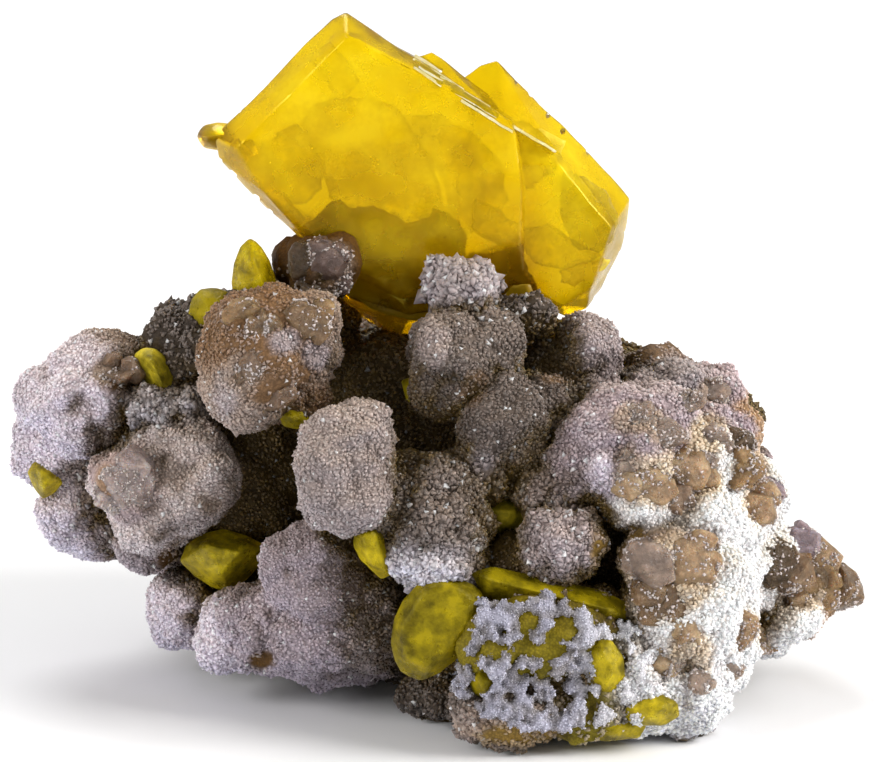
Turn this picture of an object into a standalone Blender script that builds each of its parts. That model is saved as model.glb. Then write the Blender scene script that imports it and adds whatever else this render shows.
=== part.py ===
"""Native sulfur on a druse-coated aragonite and calcite matrix.

One object per separate mineral piece: the matrix with its drusy nodules (one
intergrown solid), the large sulfur crystal group standing on it, the small
sulfur crystals and the tan calcite crystals seated in pockets of the matrix.

Metres, +Z up, +X to the viewer's right from the display side, +Y to the back.
The origin is in the middle of the flat underside that the specimen rests on.
"""

import math

import bmesh
import bpy
from mathutils import Matrix, Vector, noise

# ---------------------------------------------------------------- dimensions
PITCH = 0.000106        # one layout unit on the display face, m
LEAN = math.radians(15)  # the display face is laid out on a plane leaning back by this
REACH = 0.5147          # lines of sight of the layout meet this far in front, m
MID_U, MID_V = 437, 381  # layout units at the middle of the display face
MID_Z = 0.0352          # height of that middle above the resting face, m
SHIFT = (-0.00034, -0.0076)  # moves the layout so that the origin is mid-base, m
GAP = 0.0003            # clearance round a crystal in its pocket, m
VOXEL = 0.00105         # grid that fuses the nodules into one skin, m
MATRIX_TRIANGLES = 5200
BASE_TRIM = 0.030       # depth of the block that trims the underside flat, m

RIGHT = Vector((1, 0, 0))
UP = Vector((0, math.sin(LEAN), math.cos(LEAN)))
AWAY = Vector((0, math.cos(LEAN), -math.sin(LEAN)))


def at(u, v, y):
    """World point seen at (u, v) on the display face, y mm behind the layout's zero plane."""
    up = (MID_V - v) * PITCH
    y = y / 1000
    c = (y - up * UP.y) / (AWAY.y + up * UP.y / REACH)
    grow = 1 + c / REACH
    p = RIGHT * ((u - MID_U) * PITCH * grow) + UP * (up * grow) + AWAY * c
    return p + Vector((*SHIFT, MID_Z))


# ------------------------------------------------------------ matrix nodules
# u, v, y (mm), radius across, radius up, radius into the stone (layout units), turn (degrees)
NODULES = [
    # far left lobe
    (84, 404, 6, 62, 53, 60, -28), (60, 436, 8, 44, 46, 52, 0), (86, 496, 9, 47, 53, 52, 14),
    (118, 376, 9, 40, 40, 46, 0), (100, 440, 10, 60, 70, 60, 0),
    # left plate nodule with its oval boss
    (168, 478, 0, 66, 50, 44, 24), (200, 456, 0, 40, 40, 40, 0), (127, 482, -4, 35, 31, 22, 0),
    (140, 540, 5, 36, 30, 44, 0),
    # lower left lobes
    (192, 610, 5, 38, 38, 46, 0), (176, 592, 7, 24, 26, 40, 0),
    (312, 572, -8, 50, 50, 50, 0), (298, 622, -6, 70, 54, 56, 0), (240, 632, -2, 38, 34, 44, 0),
    (362, 616, -5, 48, 54, 54, 0), (346, 650, -1, 60, 30, 50, 0),
    # tall central nodule and the plate to its right
    (347, 465, -14, 45, 67, 46, 0), (440, 520, -12, 46, 54, 48, 0), (438, 562, -13, 40, 28, 40, 0),
    (405, 500, -10, 40, 40, 42, 0),
    # upper left nodule
    (268, 350, -6, 60, 52, 56, 0), (250, 386, -7, 40, 42, 46, 0), (302, 346, -5, 36, 42, 46, 0),
    (288, 396, -5, 40, 28, 42, 0),
    # brown dome under the large crystal
    (322, 268, 5, 37, 37, 46, 0), (292, 268, 8, 24, 22, 36, 0),
    # lumps behind the left plate
    (192, 346, 8, 40, 36, 52, 0), (212, 322, 8, 28, 20, 40, 0), (238, 320, 6, 28, 24, 36, 0), (250, 314, 4, 24, 24, 34, 0), (166, 346, 10, 16, 14, 30, 0),
    (170, 408, 2, 44, 18, 32, -10),
    # right of centre, under the large crystal
    (455, 355, -6, 43, 40, 46, 0), (490, 346, -4, 28, 30, 36, 0), (450, 382, -6, 33, 26, 40, 0),
    (463, 290, -1, 31, 27, 32, 0), (522, 312, 0, 34, 20, 36, 0),
    (592, 348, 0, 34, 32, 42, 14), (568, 360, 1, 34, 24, 38, 0),
    (505, 425, -7, 41, 50, 46, 0), (545, 415, -4, 36, 48, 46, 0), (576, 402, -3, 22, 28, 32, 0),
    (488, 474, -9, 27, 22, 30, 0), (560, 492, -9, 42, 26, 36, 0),
    (560, 550, -14, 40, 38, 40, 0), (522, 562, -11, 28, 28, 32, 0),
    # right shoulder
    (630, 452, -8, 76, 64, 66, 0), (590, 470, -9, 40, 42, 46, 0), (640, 500, -12, 40, 32, 34, 0),
    (665, 388, 2, 50, 28, 52, 0), (700, 396, 4, 37, 32, 46, 0), (650, 362, 8, 34, 12, 40, 0),
    (724, 440, 3, 34, 46, 46, 0), (744, 498, 2, 38, 48, 50, 0), (756, 560, 2, 36, 50, 50, 0),
    # bright right face
    (690, 520, -8, 52, 60, 60, 0), (684, 600, -12, 62, 68, 66, 0), (660, 560, -14, 44, 34, 38, 0),
    (712, 615, -6, 40, 54, 60, 0),
    # foot on the right
    (682, 686, -12, 44, 46, 52, 0), (636, 686, -14, 54, 46, 52, 0),
    (520, 640, -17, 58, 46, 42, 0), (512, 702, -16, 58, 42, 50, 0), (588, 692, -15, 60, 48, 52, 0),
    (446, 694, -8, 40, 28, 46, 0), (585, 625, -15, 45, 34, 40, 0),
    # far right spur
    (798, 602, 5, 42, 34, 40, 0), (768, 618, 3, 32, 30, 46, 0), (834, 594, 7, 22, 16, 28, 0),
]
# bodies of the stone that carry the nodules
CORE = [
    (150, 455, 13, 108, 72, 82, 0), (250, 470, 14, 110, 110, 130, 0),
    (430, 480, 16, 170, 150, 175, 0), (430, 390, 16, 130, 70, 120, 0),
    (640, 520, 14, 120, 130, 170, 0), (700, 430, 14, 60, 60, 90, 0),
    (330, 600, 12, 150, 60, 120, 0), (560, 640, 4, 150, 80, 150, 0), (480, 600, 12, 200, 80, 170, 0),
    (770, 580, 9, 60, 45, 60, 0), (300, 320, 14, 60, 50, 70, 0), (590, 388, 15, 72, 52, 84, 0),
    (560, 356, 12, 50, 40, 70, 0),
]
# the same, for the lumps of the hidden back
BACK = [
    (178, 424, 17, 68, 66, 60, 0), (110, 440, 14, 66, 70, 60, 0), (132, 500, 15, 60, 50, 56, 0),
    (256, 406, 24, 72, 74, 60, 0), (236, 506, 23, 78, 84, 62, 0), (330, 372, 27, 68, 72, 58, 0),
    (326, 470, 30, 76, 84, 60, 0), (412, 410, 31, 70, 80, 58, 0), (402, 548, 27, 84, 70, 66, 0),
    (490, 372, 29, 66, 62, 56, 0), (508, 470, 31, 76, 74, 60, 0), (584, 420, 27, 66, 66, 56, 0),
    (596, 530, 26, 76, 70, 60, 0), (666, 452, 22, 60, 62, 56, 0), (680, 545, 20, 64, 64, 58, 0),
    (734, 500, 13, 36, 60, 56, 0), (310, 572, 21, 88, 52, 62, 0), (500, 580, 24, 88, 52, 60, 0),
    (212, 560, 16, 50, 56, 56, 0), (262, 606, 17, 70, 56, 60, 0), (350, 618, 14, 84, 60, 60, 0),
    (426, 642, 7, 70, 58, 60, 0), (236, 356, 13, 52, 46, 60, 0), (190, 380, 13, 52, 44, 60, 0), (300, 310, 12, 46, 40, 60, 0),
    (590, 640, 14, 90, 60, 70, 0), (660, 620, 10, 60, 60, 60, 0),
]

# ------------------------------------------------------- large sulfur group
# convex growth blocks, as corner points (u, v, y mm)
MAIN_FRONT = [
    (347, 36, 3.2), (236, 150, 3.0), (262, 190, 3.0), (300, 226, 2.9), (350, 258, 2.8), (460, 258, 2.9), (518, 236, 3.2),
    (521, 190, 3.3), (512, 122, 3.8), (410, 64, 4.0),
    (346, 13, 7.0), (331, 20, 7.0), (214, 136, 6.5), (219, 160, 6.5), (264, 205, 6.5), (294, 231, 6.5), (340, 262, 6.5),
    (412, 57, 8.0), (514, 118, 8.5), (532, 190, 8.5), (530, 240, 8.0),
    (352, 26, 19.0), (252, 130, 18.0), (290, 200, 17.0), (420, 258, 17.0), (530, 230, 18.5), (505, 122, 19.5),
]
MAIN_STEP = [
    (405, 60, 6.6), (431, 53, 8.5), (440, 58, 8.5), (463, 78, 9.0), (512, 112, 9.0), (508, 124, 6.0), (405, 76, 6.0),
    (431, 56, 17.0), (463, 82, 18.0), (512, 116, 18.0), (405, 76, 17.0),
]
MAIN_RIGHT = [
    (506, 122, 6.4), (562, 168, 5.0), (611, 228, 5.0), (592, 285, 5.2), (562, 306, 4.8), (535, 286, 4.5), (455, 262, 4.6), (490, 160, 4.6),
    (462, 78, 10.5), (480, 66, 11.0), (497, 61, 11.0), (508, 76, 11.0), (531, 96, 11.0), (565, 139, 10.5), (600, 164, 10.0), (630, 199, 10.0),
    (628, 222, 10.2), (621, 250, 10.5), (601, 289, 10.5), (587, 309, 10.0), (566, 317, 9.5),
    (470, 90, 22.0), (496, 74, 22.0), (560, 150, 22.5), (610, 205, 21.0), (590, 280, 20.0), (540, 300, 19.0), (450, 250, 18.0),
]
MAIN_ROOT = [
    (300, 226, 4.2), (345, 246, 3.6), (460, 246, 3.8), (520, 238, 4.2), (542, 290, 5.0), (470, 306, 4.6),
    (410, 314, 4.6), (350, 296, 4.8), (318, 255, 5.2),
    (310, 200, 16.0), (520, 200, 17.0), (540, 290, 17.0), (470, 332, 16.0), (400, 338, 15.0), (345, 310, 14.0),
]
MAIN_KNOB = [
    (198, 136, 8.5), (205, 126, 8.5), (221, 123, 8.0), (238, 128, 9.0), (236, 144, 9.0), (220, 148, 8.0), (207, 147, 8.5),
    (206, 136, 6.8), (222, 135, 6.4), (236, 136, 6.8), (210, 136, 11.0), (236, 136, 12.0),
]

# ------------------------------------------------------ small sulfur crystals
# name: u, v, y (mm), half sizes a (across), b (into the stone), c (long axis) in layout
# units, turn of the long axis from upright (degrees), nod towards the viewer (degrees),
# share of each tip that is cut off by the basal face
SULFUR = {
    "sulfur_blade_upper_left": (256, 276, 3.5, 24, 20, 42, -8, 4, 0.10),
    "sulfur_stub_upper_left": (212, 305, 4.5, 24, 22, 27, 40, 10, 0.35),
    "sulfur_left_saddle": (158, 372, 5.0, 20, 18, 30, 20, 8, 0.20),
    "sulfur_left_edge": (45, 474, 5.6, 16, 16, 22, 30, 0, 0.25),
    "sulfur_lower_left": (224, 556, -1.0, 34, 30, 46, 78, -12, 0.20),
    "sulfur_center_prism": (370, 548, -13.8, 17, 16, 34, 18, 0, 0.45),
    "sulfur_center_pocket": (500, 516, -5.5, 22, 20, 30, 76, 0, 0.35),
    "sulfur_gap_center": (414, 388, -2.2, 14, 14, 18, 10, 0, 0.3),
    "sulfur_gap_left": (292, 418, -8.6, 12, 14, 20, 60, 0, 0.3),
    "sulfur_gap_right": (602, 378, -2.0, 12, 12, 18, 80, 0, 0.3),
    "sulfur_front_disc": (436, 628, -16.6, 44, 22, 56, -32, 0, 0.42),
    "sulfur_front_band": (566, 600, -17.0, 20, 22, 52, 96, 0, 0.35),
    "sulfur_lace_window": (482, 682, -21.0, 15, 12, 20, 10, 0, 0.35),
    "sulfur_lace_right": (612, 664, -20.3, 16, 16, 34, 12, 0, 0.4),
    "sulfur_foot_right": (652, 708, -19.8, 14, 14, 22, 85, 0, 0.35),
    "sulfur_foot_edge": (600, 728, -19.2, 10, 14, 22, 85, 0, 0.4),
}
# small sulfur crystals of the back: x, y, z (mm), half sizes (mm), turn, nod, basal share
SULFUR_BACK = {
    "sulfur_back_upper": (9, 27.0, 31, 2.2, 2.0, 3.6, 30, -70, 0.25),
    "sulfur_back_left": (-22, 21.5, 17, 2.6, 2.4, 4.0, -40, -80, 0.25),
    "sulfur_back_right": (24, 22.0, 21, 2.4, 2.2, 3.4, 15, -75, 0.30),
}

# ------------------------------------------------------- tan calcite crystals
# name: list of blocky rhombs (u, v, y mm, half sizes across, up, in, turn) that are grown together
CALCITE = {
    "calcite_left_boss": [(124, 372, 3.8, 15, 15, 14, 20)],
    "calcite_shoulder": [(641, 488, -13.6, 21, 21, 18, 15), (676, 482, -13.2, 20, 19, 18, -10), (705, 470, -12.0, 17, 16, 16, 30)],
    "calcite_face_left": [(645, 560, -17.0, 22, 20, 16, 20), (678, 551, -17.2, 20, 18, 16, -15), (698, 566, -16.4, 13, 18, 14, 0)],
    "calcite_right_upper": [(758, 508, -0.6, 17, 20, 18, 10), (772, 490, 1.2, 11, 16, 16, -20)],
    "calcite_right_ridge": [(712, 392, 0.4, 16, 14, 16, 25)],
    "calcite_far_right": [(806, 578, 1.2, 23, 22, 20, 10), (832, 588, 3.0, 18, 20, 18, -25), (801, 538, 4.0, 14, 13, 15, 30),
                          (812, 605, 1.0, 14, 12, 14, 0), (846, 592, 5.6, 13, 16, 14, 30)],
    "calcite_face_low": [(690, 634, -18.8, 12, 14, 12, 20)],
    "calcite_face_pair": [(662, 660, -19.6, 18, 14, 13, -20)],
    "calcite_side_low": [(740, 628, -2.6, 16, 20, 16, 30)],
}

COLOURS = {
    "matrix": ((0.52, 0.48, 0.50, 1), 0.55),
    "sulfur": ((0.83, 0.60, 0.03, 1), 0.18),
    "calcite": ((0.56, 0.38, 0.24, 1), 0.35),
}


# ------------------------------------------------------------------ helpers
def clear_scene():
    for obj in list(bpy.data.objects):
        bpy.data.objects.remove(obj)


def collection(name):
    made = bpy.data.collections.new(name)
    bpy.context.scene.collection.children.link(made)
    return made


def material(name, colour, roughness):
    made = bpy.data.materials.new(name)
    made.use_nodes = True
    shader = made.node_tree.nodes["Principled BSDF"]
    shader.inputs["Base Color"].default_value = colour
    shader.inputs["Roughness"].default_value = roughness
    shader.inputs["Metallic"].default_value = 0.0
    return made


def new_object(name, bm, where, finish=None):
    mesh = bpy.data.meshes.new(name)
    bm.to_mesh(mesh)
    bm.free()
    obj = bpy.data.objects.new(name, mesh)
    where.objects.link(obj)
    if finish is not None:
        mesh.materials.append(finish)
    return obj


def helper(obj):
    obj.hide_render = True
    obj.display_type = "WIRE"
    return obj


def baked(obj):
    """A new mesh of obj with its modifiers applied."""
    bpy.context.view_layer.update()
    graph = bpy.context.evaluated_depsgraph_get()
    return bpy.data.meshes.new_from_object(obj.evaluated_get(graph), depsgraph=graph)


def boolean(obj, other, operation):
    modifier = obj.modifiers.new(operation.lower(), "BOOLEAN")
    modifier.operation = operation
    modifier.solver = "EXACT"
    modifier.object = other
    return modifier


def turned(turn, nod=0.0):
    """Axes of the display face, turned about the line of sight and nodded towards the viewer."""
    face = Matrix((RIGHT, AWAY, UP)).transposed().to_4x4()
    return face @ Matrix.Rotation(math.radians(nod), 4, "X") @ Matrix.Rotation(math.radians(turn), 4, "Y")


def ellipsoid(bm, centre, radii, axes, subdivisions=3):
    scale = Matrix.Diagonal((*radii, 1))
    bmesh.ops.create_icosphere(
        bm, subdivisions=subdivisions, radius=1, matrix=Matrix.Translation(centre) @ axes @ scale
    )


def hull(points):
    """bmesh of the convex hull of points."""
    bm = bmesh.new()
    for p in points:
        bm.verts.new(p)
    bmesh.ops.convex_hull(bm, input=bm.verts)
    bmesh.ops.delete(bm, geom=[v for v in bm.verts if not v.link_faces], context="VERTS")
    bmesh.ops.recalc_face_normals(bm, faces=bm.faces)
    return bm


def grown(mesh, by):
    """A copy of a crystal mesh, larger by at least `by` all round: a cutter for its pocket."""
    bm = bmesh.new()
    bm.from_mesh(mesh)
    centre = sum((v.co for v in bm.verts), Vector()) / len(bm.verts)
    bm.normal_update()
    nearest = min(abs((f.calc_center_median() - centre).dot(f.normal)) for f in bm.faces)
    factor = 1 + by / max(nearest, 0.0008)
    for v in bm.verts:
        v.co = centre + (v.co - centre) * factor
    return bm


def dipyramid(centre, a, b, c, axes, cut):
    """Corners of an orthorhombic dipyramid: a zone of four steep faces, a flatter one near each tip and a basal face."""
    points = []
    for sign in (-1, 1):
        for t, w in ((0.0, 1.0), (0.42, 0.72), (1 - cut, 0.72 * (cut / 0.58))):
            for i in range(4):
                angle = math.radians(90 * i)
                p = Vector((a * w * math.cos(angle), b * w * math.sin(angle), sign * c * t))
                points.append(centre + (axes @ p.to_4d()).to_3d())
    return points


def rhomb(centre, a, b, c, axes):
    """Corners of a blocky crystal: a box with every corner cut back."""
    points = []
    for sx in (-1, 1):
        for sy in (-1, 1):
            for sz in (-1, 1):
                for full in range(3):
                    g = [0.62, 0.62, 0.62]
                    g[full] = 1.0
                    p = Vector((sx * a * g[0], sy * b * g[1], sz * c * g[2]))
                    points.append(centre + (axes @ p.to_4d()).to_3d())
    return points


def largest_body(mesh):
    """Keeps the largest connected shell of a mesh."""
    bm = bmesh.new()
    bm.from_mesh(mesh)
    left, shells = set(bm.verts), []
    while left:
        todo, shell = [left.pop()], []
        while todo:
            v = todo.pop()
            shell.append(v)
            for e in v.link_edges:
                w = e.other_vert(v)
                if w in left:
                    left.remove(w)
                    todo.append(w)
        shells.append(shell)
    shells.sort(key=len, reverse=True)
    bmesh.ops.delete(bm, geom=[v for s in shells[1:] for v in s], context="VERTS")
    bm.to_mesh(mesh)
    bm.free()


# ---------------------------------------------------------------- the stone
def build_matrix(parts, cutters, pockets, finish):
    bm = bmesh.new()
    for u, v, y, ru, rv, rd, turn in NODULES + CORE + BACK:
        ellipsoid(bm, at(u, v, y), (ru * PITCH, rd * PITCH, rv * PITCH), turned(turn))
    # uneven growth of the nodules
    for vert in bm.verts:
        p = vert.co * 260
        vert.co += vert.co.normalized() * 0.0005 * noise.noise(p)
    form = helper(new_object("matrix_form", bm, cutters))
    fuse = form.modifiers.new("fuse", "REMESH")
    fuse.mode = "VOXEL"
    fuse.voxel_size = VOXEL
    relax = form.modifiers.new("relax", "SMOOTH")
    relax.factor, relax.iterations = 0.5, 3
    count = sum(len(p.vertices) - 2 for p in baked(form).polygons)
    thin = form.modifiers.new("thin", "DECIMATE")
    thin.ratio = MATRIX_TRIANGLES / count
    thin.use_collapse_triangulate = True
    mesh = baked(form)
    stone = bpy.data.objects.new("matrix", mesh)
    parts.objects.link(stone)

    # the underside is trimmed flat
    bm = bmesh.new()
    bmesh.ops.create_cube(bm, size=1, matrix=Matrix.Translation((0, 0, -BASE_TRIM / 2)) @ Matrix.Diagonal((0.2, 0.2, BASE_TRIM, 1)))
    boolean(stone, helper(new_object("base_trim", bm, cutters)), "DIFFERENCE")
    for pocket in pockets:
        boolean(stone, pocket, "DIFFERENCE")
    final = baked(stone)
    stone.modifiers.clear()
    largest_body(final)
    stone.data = final
    final.materials.clear()
    final.materials.append(finish)
    return stone


def build_main(parts, cutters, finish):
    front = new_object("sulfur_main", hull([at(*p) for p in MAIN_FRONT]), parts, finish)
    for name, points in (("step", MAIN_STEP), ("right", MAIN_RIGHT), ("root", MAIN_ROOT), ("knob", MAIN_KNOB)):
        block = helper(new_object("block_" + name, hull([at(*p) for p in points]), cutters))
        boolean(front, block, "UNION")
    mesh = baked(front)
    front.modifiers.clear()
    front.data = mesh
    mesh.materials.clear()
    mesh.materials.append(finish)
    return front


def build_joined(name, hulls, parts, cutters, finish):
    """One object from several intergrown hulls."""
    first = new_object(name, hull(hulls[0]), parts, finish)
    for i, points in enumerate(hulls[1:]):
        block = helper(new_object(f"{name}_block{i}", hull(points), cutters))
        boolean(first, block, "UNION")
    if hulls[1:]:
        mesh = baked(first)
        first.modifiers.clear()
        first.data = mesh
        mesh.materials.clear()
        mesh.materials.append(finish)
    return first


def main():
    clear_scene()
    parts, cutters = collection("native_sulfur_specimen"), collection("cutters")
    finishes = {k: material(k, *v) for k, v in COLOURS.items()}
    pockets = []

    sulfur = build_main(parts, cutters, finishes["sulfur"])
    for i, points in enumerate((MAIN_FRONT, MAIN_STEP, MAIN_RIGHT, MAIN_ROOT, MAIN_KNOB)):
        bm = hull([at(*p) for p in points])
        mesh = bpy.data.meshes.new("pocket")
        bm.to_mesh(mesh)
        bm.free()
        pockets.append(helper(new_object(f"pocket_main_{i}", grown(mesh, GAP), cutters)))

    def seat(name, hulls, finish):
        build_joined(name, hulls, parts, cutters, finish)
        for i, points in enumerate(hulls):
            bm = hull(points)
            mesh = bpy.data.meshes.new("pocket")
            bm.to_mesh(mesh)
            bm.free()
            pockets.append(helper(new_object(f"pocket_{name}_{i}", grown(mesh, GAP), cutters)))

    for name, (u, v, y, a, b, c, turn, nod, cut) in SULFUR.items():
        seat(name, [dipyramid(at(u, v, y), a * PITCH, b * PITCH, c * PITCH, turned(turn, nod), cut)], finishes["sulfur"])
    for name, (x, y, z, a, b, c, turn, nod, cut) in SULFUR_BACK.items():
        centre = Vector((x, y, z)) / 1000
        seat(name, [dipyramid(centre, a / 1000, b / 1000, c / 1000, turned(turn, nod), cut)], finishes["sulfur"])
    for name, blocks in CALCITE.items():
        hulls = [rhomb(at(u, v, y), a * PITCH, d * PITCH, c * PITCH, turned(turn, 12)) for u, v, y, a, c, d, turn in blocks]
        seat(name, hulls, finishes["calcite"])

    build_matrix(parts, cutters, pockets, finishes["matrix"])


main()
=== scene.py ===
"""Looks of the native sulfur specimen: stone skin, druse grains, lacy crust, see-through crystals."""

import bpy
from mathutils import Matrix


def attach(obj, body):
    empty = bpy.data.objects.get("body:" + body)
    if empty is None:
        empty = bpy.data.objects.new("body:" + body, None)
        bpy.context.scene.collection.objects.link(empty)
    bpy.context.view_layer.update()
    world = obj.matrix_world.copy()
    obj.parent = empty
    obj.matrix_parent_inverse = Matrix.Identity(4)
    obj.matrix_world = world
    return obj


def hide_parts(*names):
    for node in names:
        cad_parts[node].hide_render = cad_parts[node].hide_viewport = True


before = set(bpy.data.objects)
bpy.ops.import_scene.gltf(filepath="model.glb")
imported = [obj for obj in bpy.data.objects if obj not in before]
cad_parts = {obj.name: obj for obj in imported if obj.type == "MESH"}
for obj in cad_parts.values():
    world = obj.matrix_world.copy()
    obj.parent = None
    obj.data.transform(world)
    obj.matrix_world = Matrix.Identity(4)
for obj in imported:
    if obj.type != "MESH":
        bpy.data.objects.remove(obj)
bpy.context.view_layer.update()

import math

import bmesh
import bpy
import numpy as np
from mathutils import Matrix, Vector
from mathutils.bvhtree import BVHTree

RNG = np.random.default_rng(7)

# ------------------------------------------------------------------ layout
PITCH = 0.000106
LEAN = math.radians(15)
REACH = 0.5147
MID_U, MID_V, MID_Z = 437, 381, 0.0352
SHIFT = (-0.00034, -0.0076)
RIGHT = np.array([1.0, 0, 0])
UP = np.array([0, math.sin(LEAN), math.cos(LEAN)])
AWAY = np.array([0, math.cos(LEAN), -math.sin(LEAN)])
MIDDLE = np.array([SHIFT[0], SHIFT[1], MID_Z])


def at(u, v, y):
    """Point(s) laid out at (u, v) on the display face, y mm behind its zero plane."""
    u, v, y = (np.asarray(a, float) for a in (u, v, y))
    up = (MID_V - v) * PITCH
    c = (y / 1000 - up * UP[1]) / (AWAY[1] + up * UP[1] / REACH)
    grow = 1 + c / REACH
    return (
        ((u - MID_U) * PITCH * grow)[..., None] * RIGHT
        + (up * grow)[..., None] * UP
        + c[..., None] * AWAY
        + MIDDLE
    )


def laid(p):
    """(u, v, y) of points: the inverse of at()."""
    rel = p - MIDDLE
    c = rel @ AWAY
    grow = 1 + c / REACH
    return MID_U + rel @ RIGHT / (PITCH * grow), MID_V - rel @ UP / (PITCH * grow), rel[..., 1] * 1000


def turned(turn, nod=0.0):
    face = np.stack([RIGHT, AWAY, UP], axis=1)
    t, n = math.radians(turn), math.radians(nod)
    rx = np.array([[1, 0, 0], [0, math.cos(n), -math.sin(n)], [0, math.sin(n), math.cos(n)]])
    ry = np.array([[math.cos(t), 0, math.sin(t)], [0, 1, 0], [-math.sin(t), 0, math.cos(t)]])
    return face @ rx @ ry


# ------------------------------------------------------------------- noise
def hashed(i, j, k, seed):
    h = (i * 374761393 + j * 668265263 + k * 1442695041 + seed * 1274126177) & 0xFFFFFFFF
    h = ((h ^ (h >> 13)) * 1274126177) & 0xFFFFFFFF
    h = ((h ^ (h >> 15)) * 668265263) & 0xFFFFFFFF
    return ((h ^ (h >> 16)) & 0xFFFFFF) / float(0xFFFFFF)


def value_noise(p, size, seed=0):
    """Smooth noise of 0 to 1 at points p, with features of the given size in metres."""
    q = p / size
    base = np.floor(q).astype(np.int64)
    f = q - base
    f = f * f * (3 - 2 * f)
    total = np.zeros(len(p))
    for dx in (0, 1):
        for dy in (0, 1):
            for dz in (0, 1):
                w = (f[:, 0] if dx else 1 - f[:, 0]) * (f[:, 1] if dy else 1 - f[:, 1]) * (f[:, 2] if dz else 1 - f[:, 2])
                total += w * hashed(base[:, 0] + dx, base[:, 1] + dy, base[:, 2] + dz, seed)
    return total


def fractal(p, size, seed=0, octaves=3):
    total, weight = np.zeros(len(p)), 0.0
    for o in range(octaves):
        w = 0.5**o
        total += w * value_noise(p, size / 2**o, seed + 11 * o)
        weight += w
    return total / weight


def cells(p, size, seed=0):
    """Distance to the nearest scattered centre (in units of size) and that centre's random number."""
    q = p / size
    base = np.floor(q).astype(np.int64)
    best = np.full(len(p), 9.0)
    owner = np.zeros(len(p))
    for dx in (-1, 0, 1):
        for dy in (-1, 0, 1):
            for dz in (-1, 0, 1):
                i, j, k = base[:, 0] + dx, base[:, 1] + dy, base[:, 2] + dz
                c = np.stack(
                    [i + hashed(i, j, k, seed), j + hashed(i, j, k, seed + 1), k + hashed(i, j, k, seed + 2)], axis=1
                )
                d = np.sqrt(((c - q) ** 2).sum(axis=1))
                near = d < best
                best = np.where(near, d, best)
                owner = np.where(near, hashed(i, j, k, seed + 3), owner)
    return best, owner


# ------------------------------------------------------------------- tints
TINTS = {
    "pearl": (0.62, 0.54, 0.612),
    "cream": (0.53, 0.445, 0.43),
    # dusk: the nodules in the middle under the large crystal, dark as painted shade of that crystal
    "dusk": (0.155, 0.122, 0.106),
    "frost": (0.315, 0.262, 0.272),
    "ash": (0.25, 0.215, 0.225),
    "fawn": (0.30, 0.19, 0.12),
    "blush": (0.45, 0.34, 0.33),
    "lav": (0.355, 0.292, 0.322),
    "warm": (0.335, 0.275, 0.262),
    # grey: kept dark partly as painted shade where it lies under the large crystal
    "grey": (0.118, 0.092, 0.080),
    "beige": (0.30, 0.225, 0.18),
    "peach": (0.17, 0.094, 0.044),
    "umber": (0.088, 0.040, 0.006),
    "brown": (0.17, 0.105, 0.058),
    "dark": (0.062, 0.046, 0.034),
    "cool": (0.56, 0.53, 0.60),
    "lilac": (0.35, 0.28, 0.315),
    "white": (0.90, 0.86, 0.85),
    "bright": (0.90, 0.88, 0.93),
    "tan": (0.36, 0.215, 0.105),
    "amber": (0.27, 0.165, 0.035),
    "yellow": (0.19, 0.148, 0.006),
    "sand": (0.56, 0.445, 0.33),
}
# dark stone between the nodules: its own dark colour, made darker still as painted shade deep in the gaps
ROCK_AND_SHADE = np.array((0.066, 0.040, 0.009))

TURN2 = -32  # the boxy plate at the left lies this way round
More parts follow.
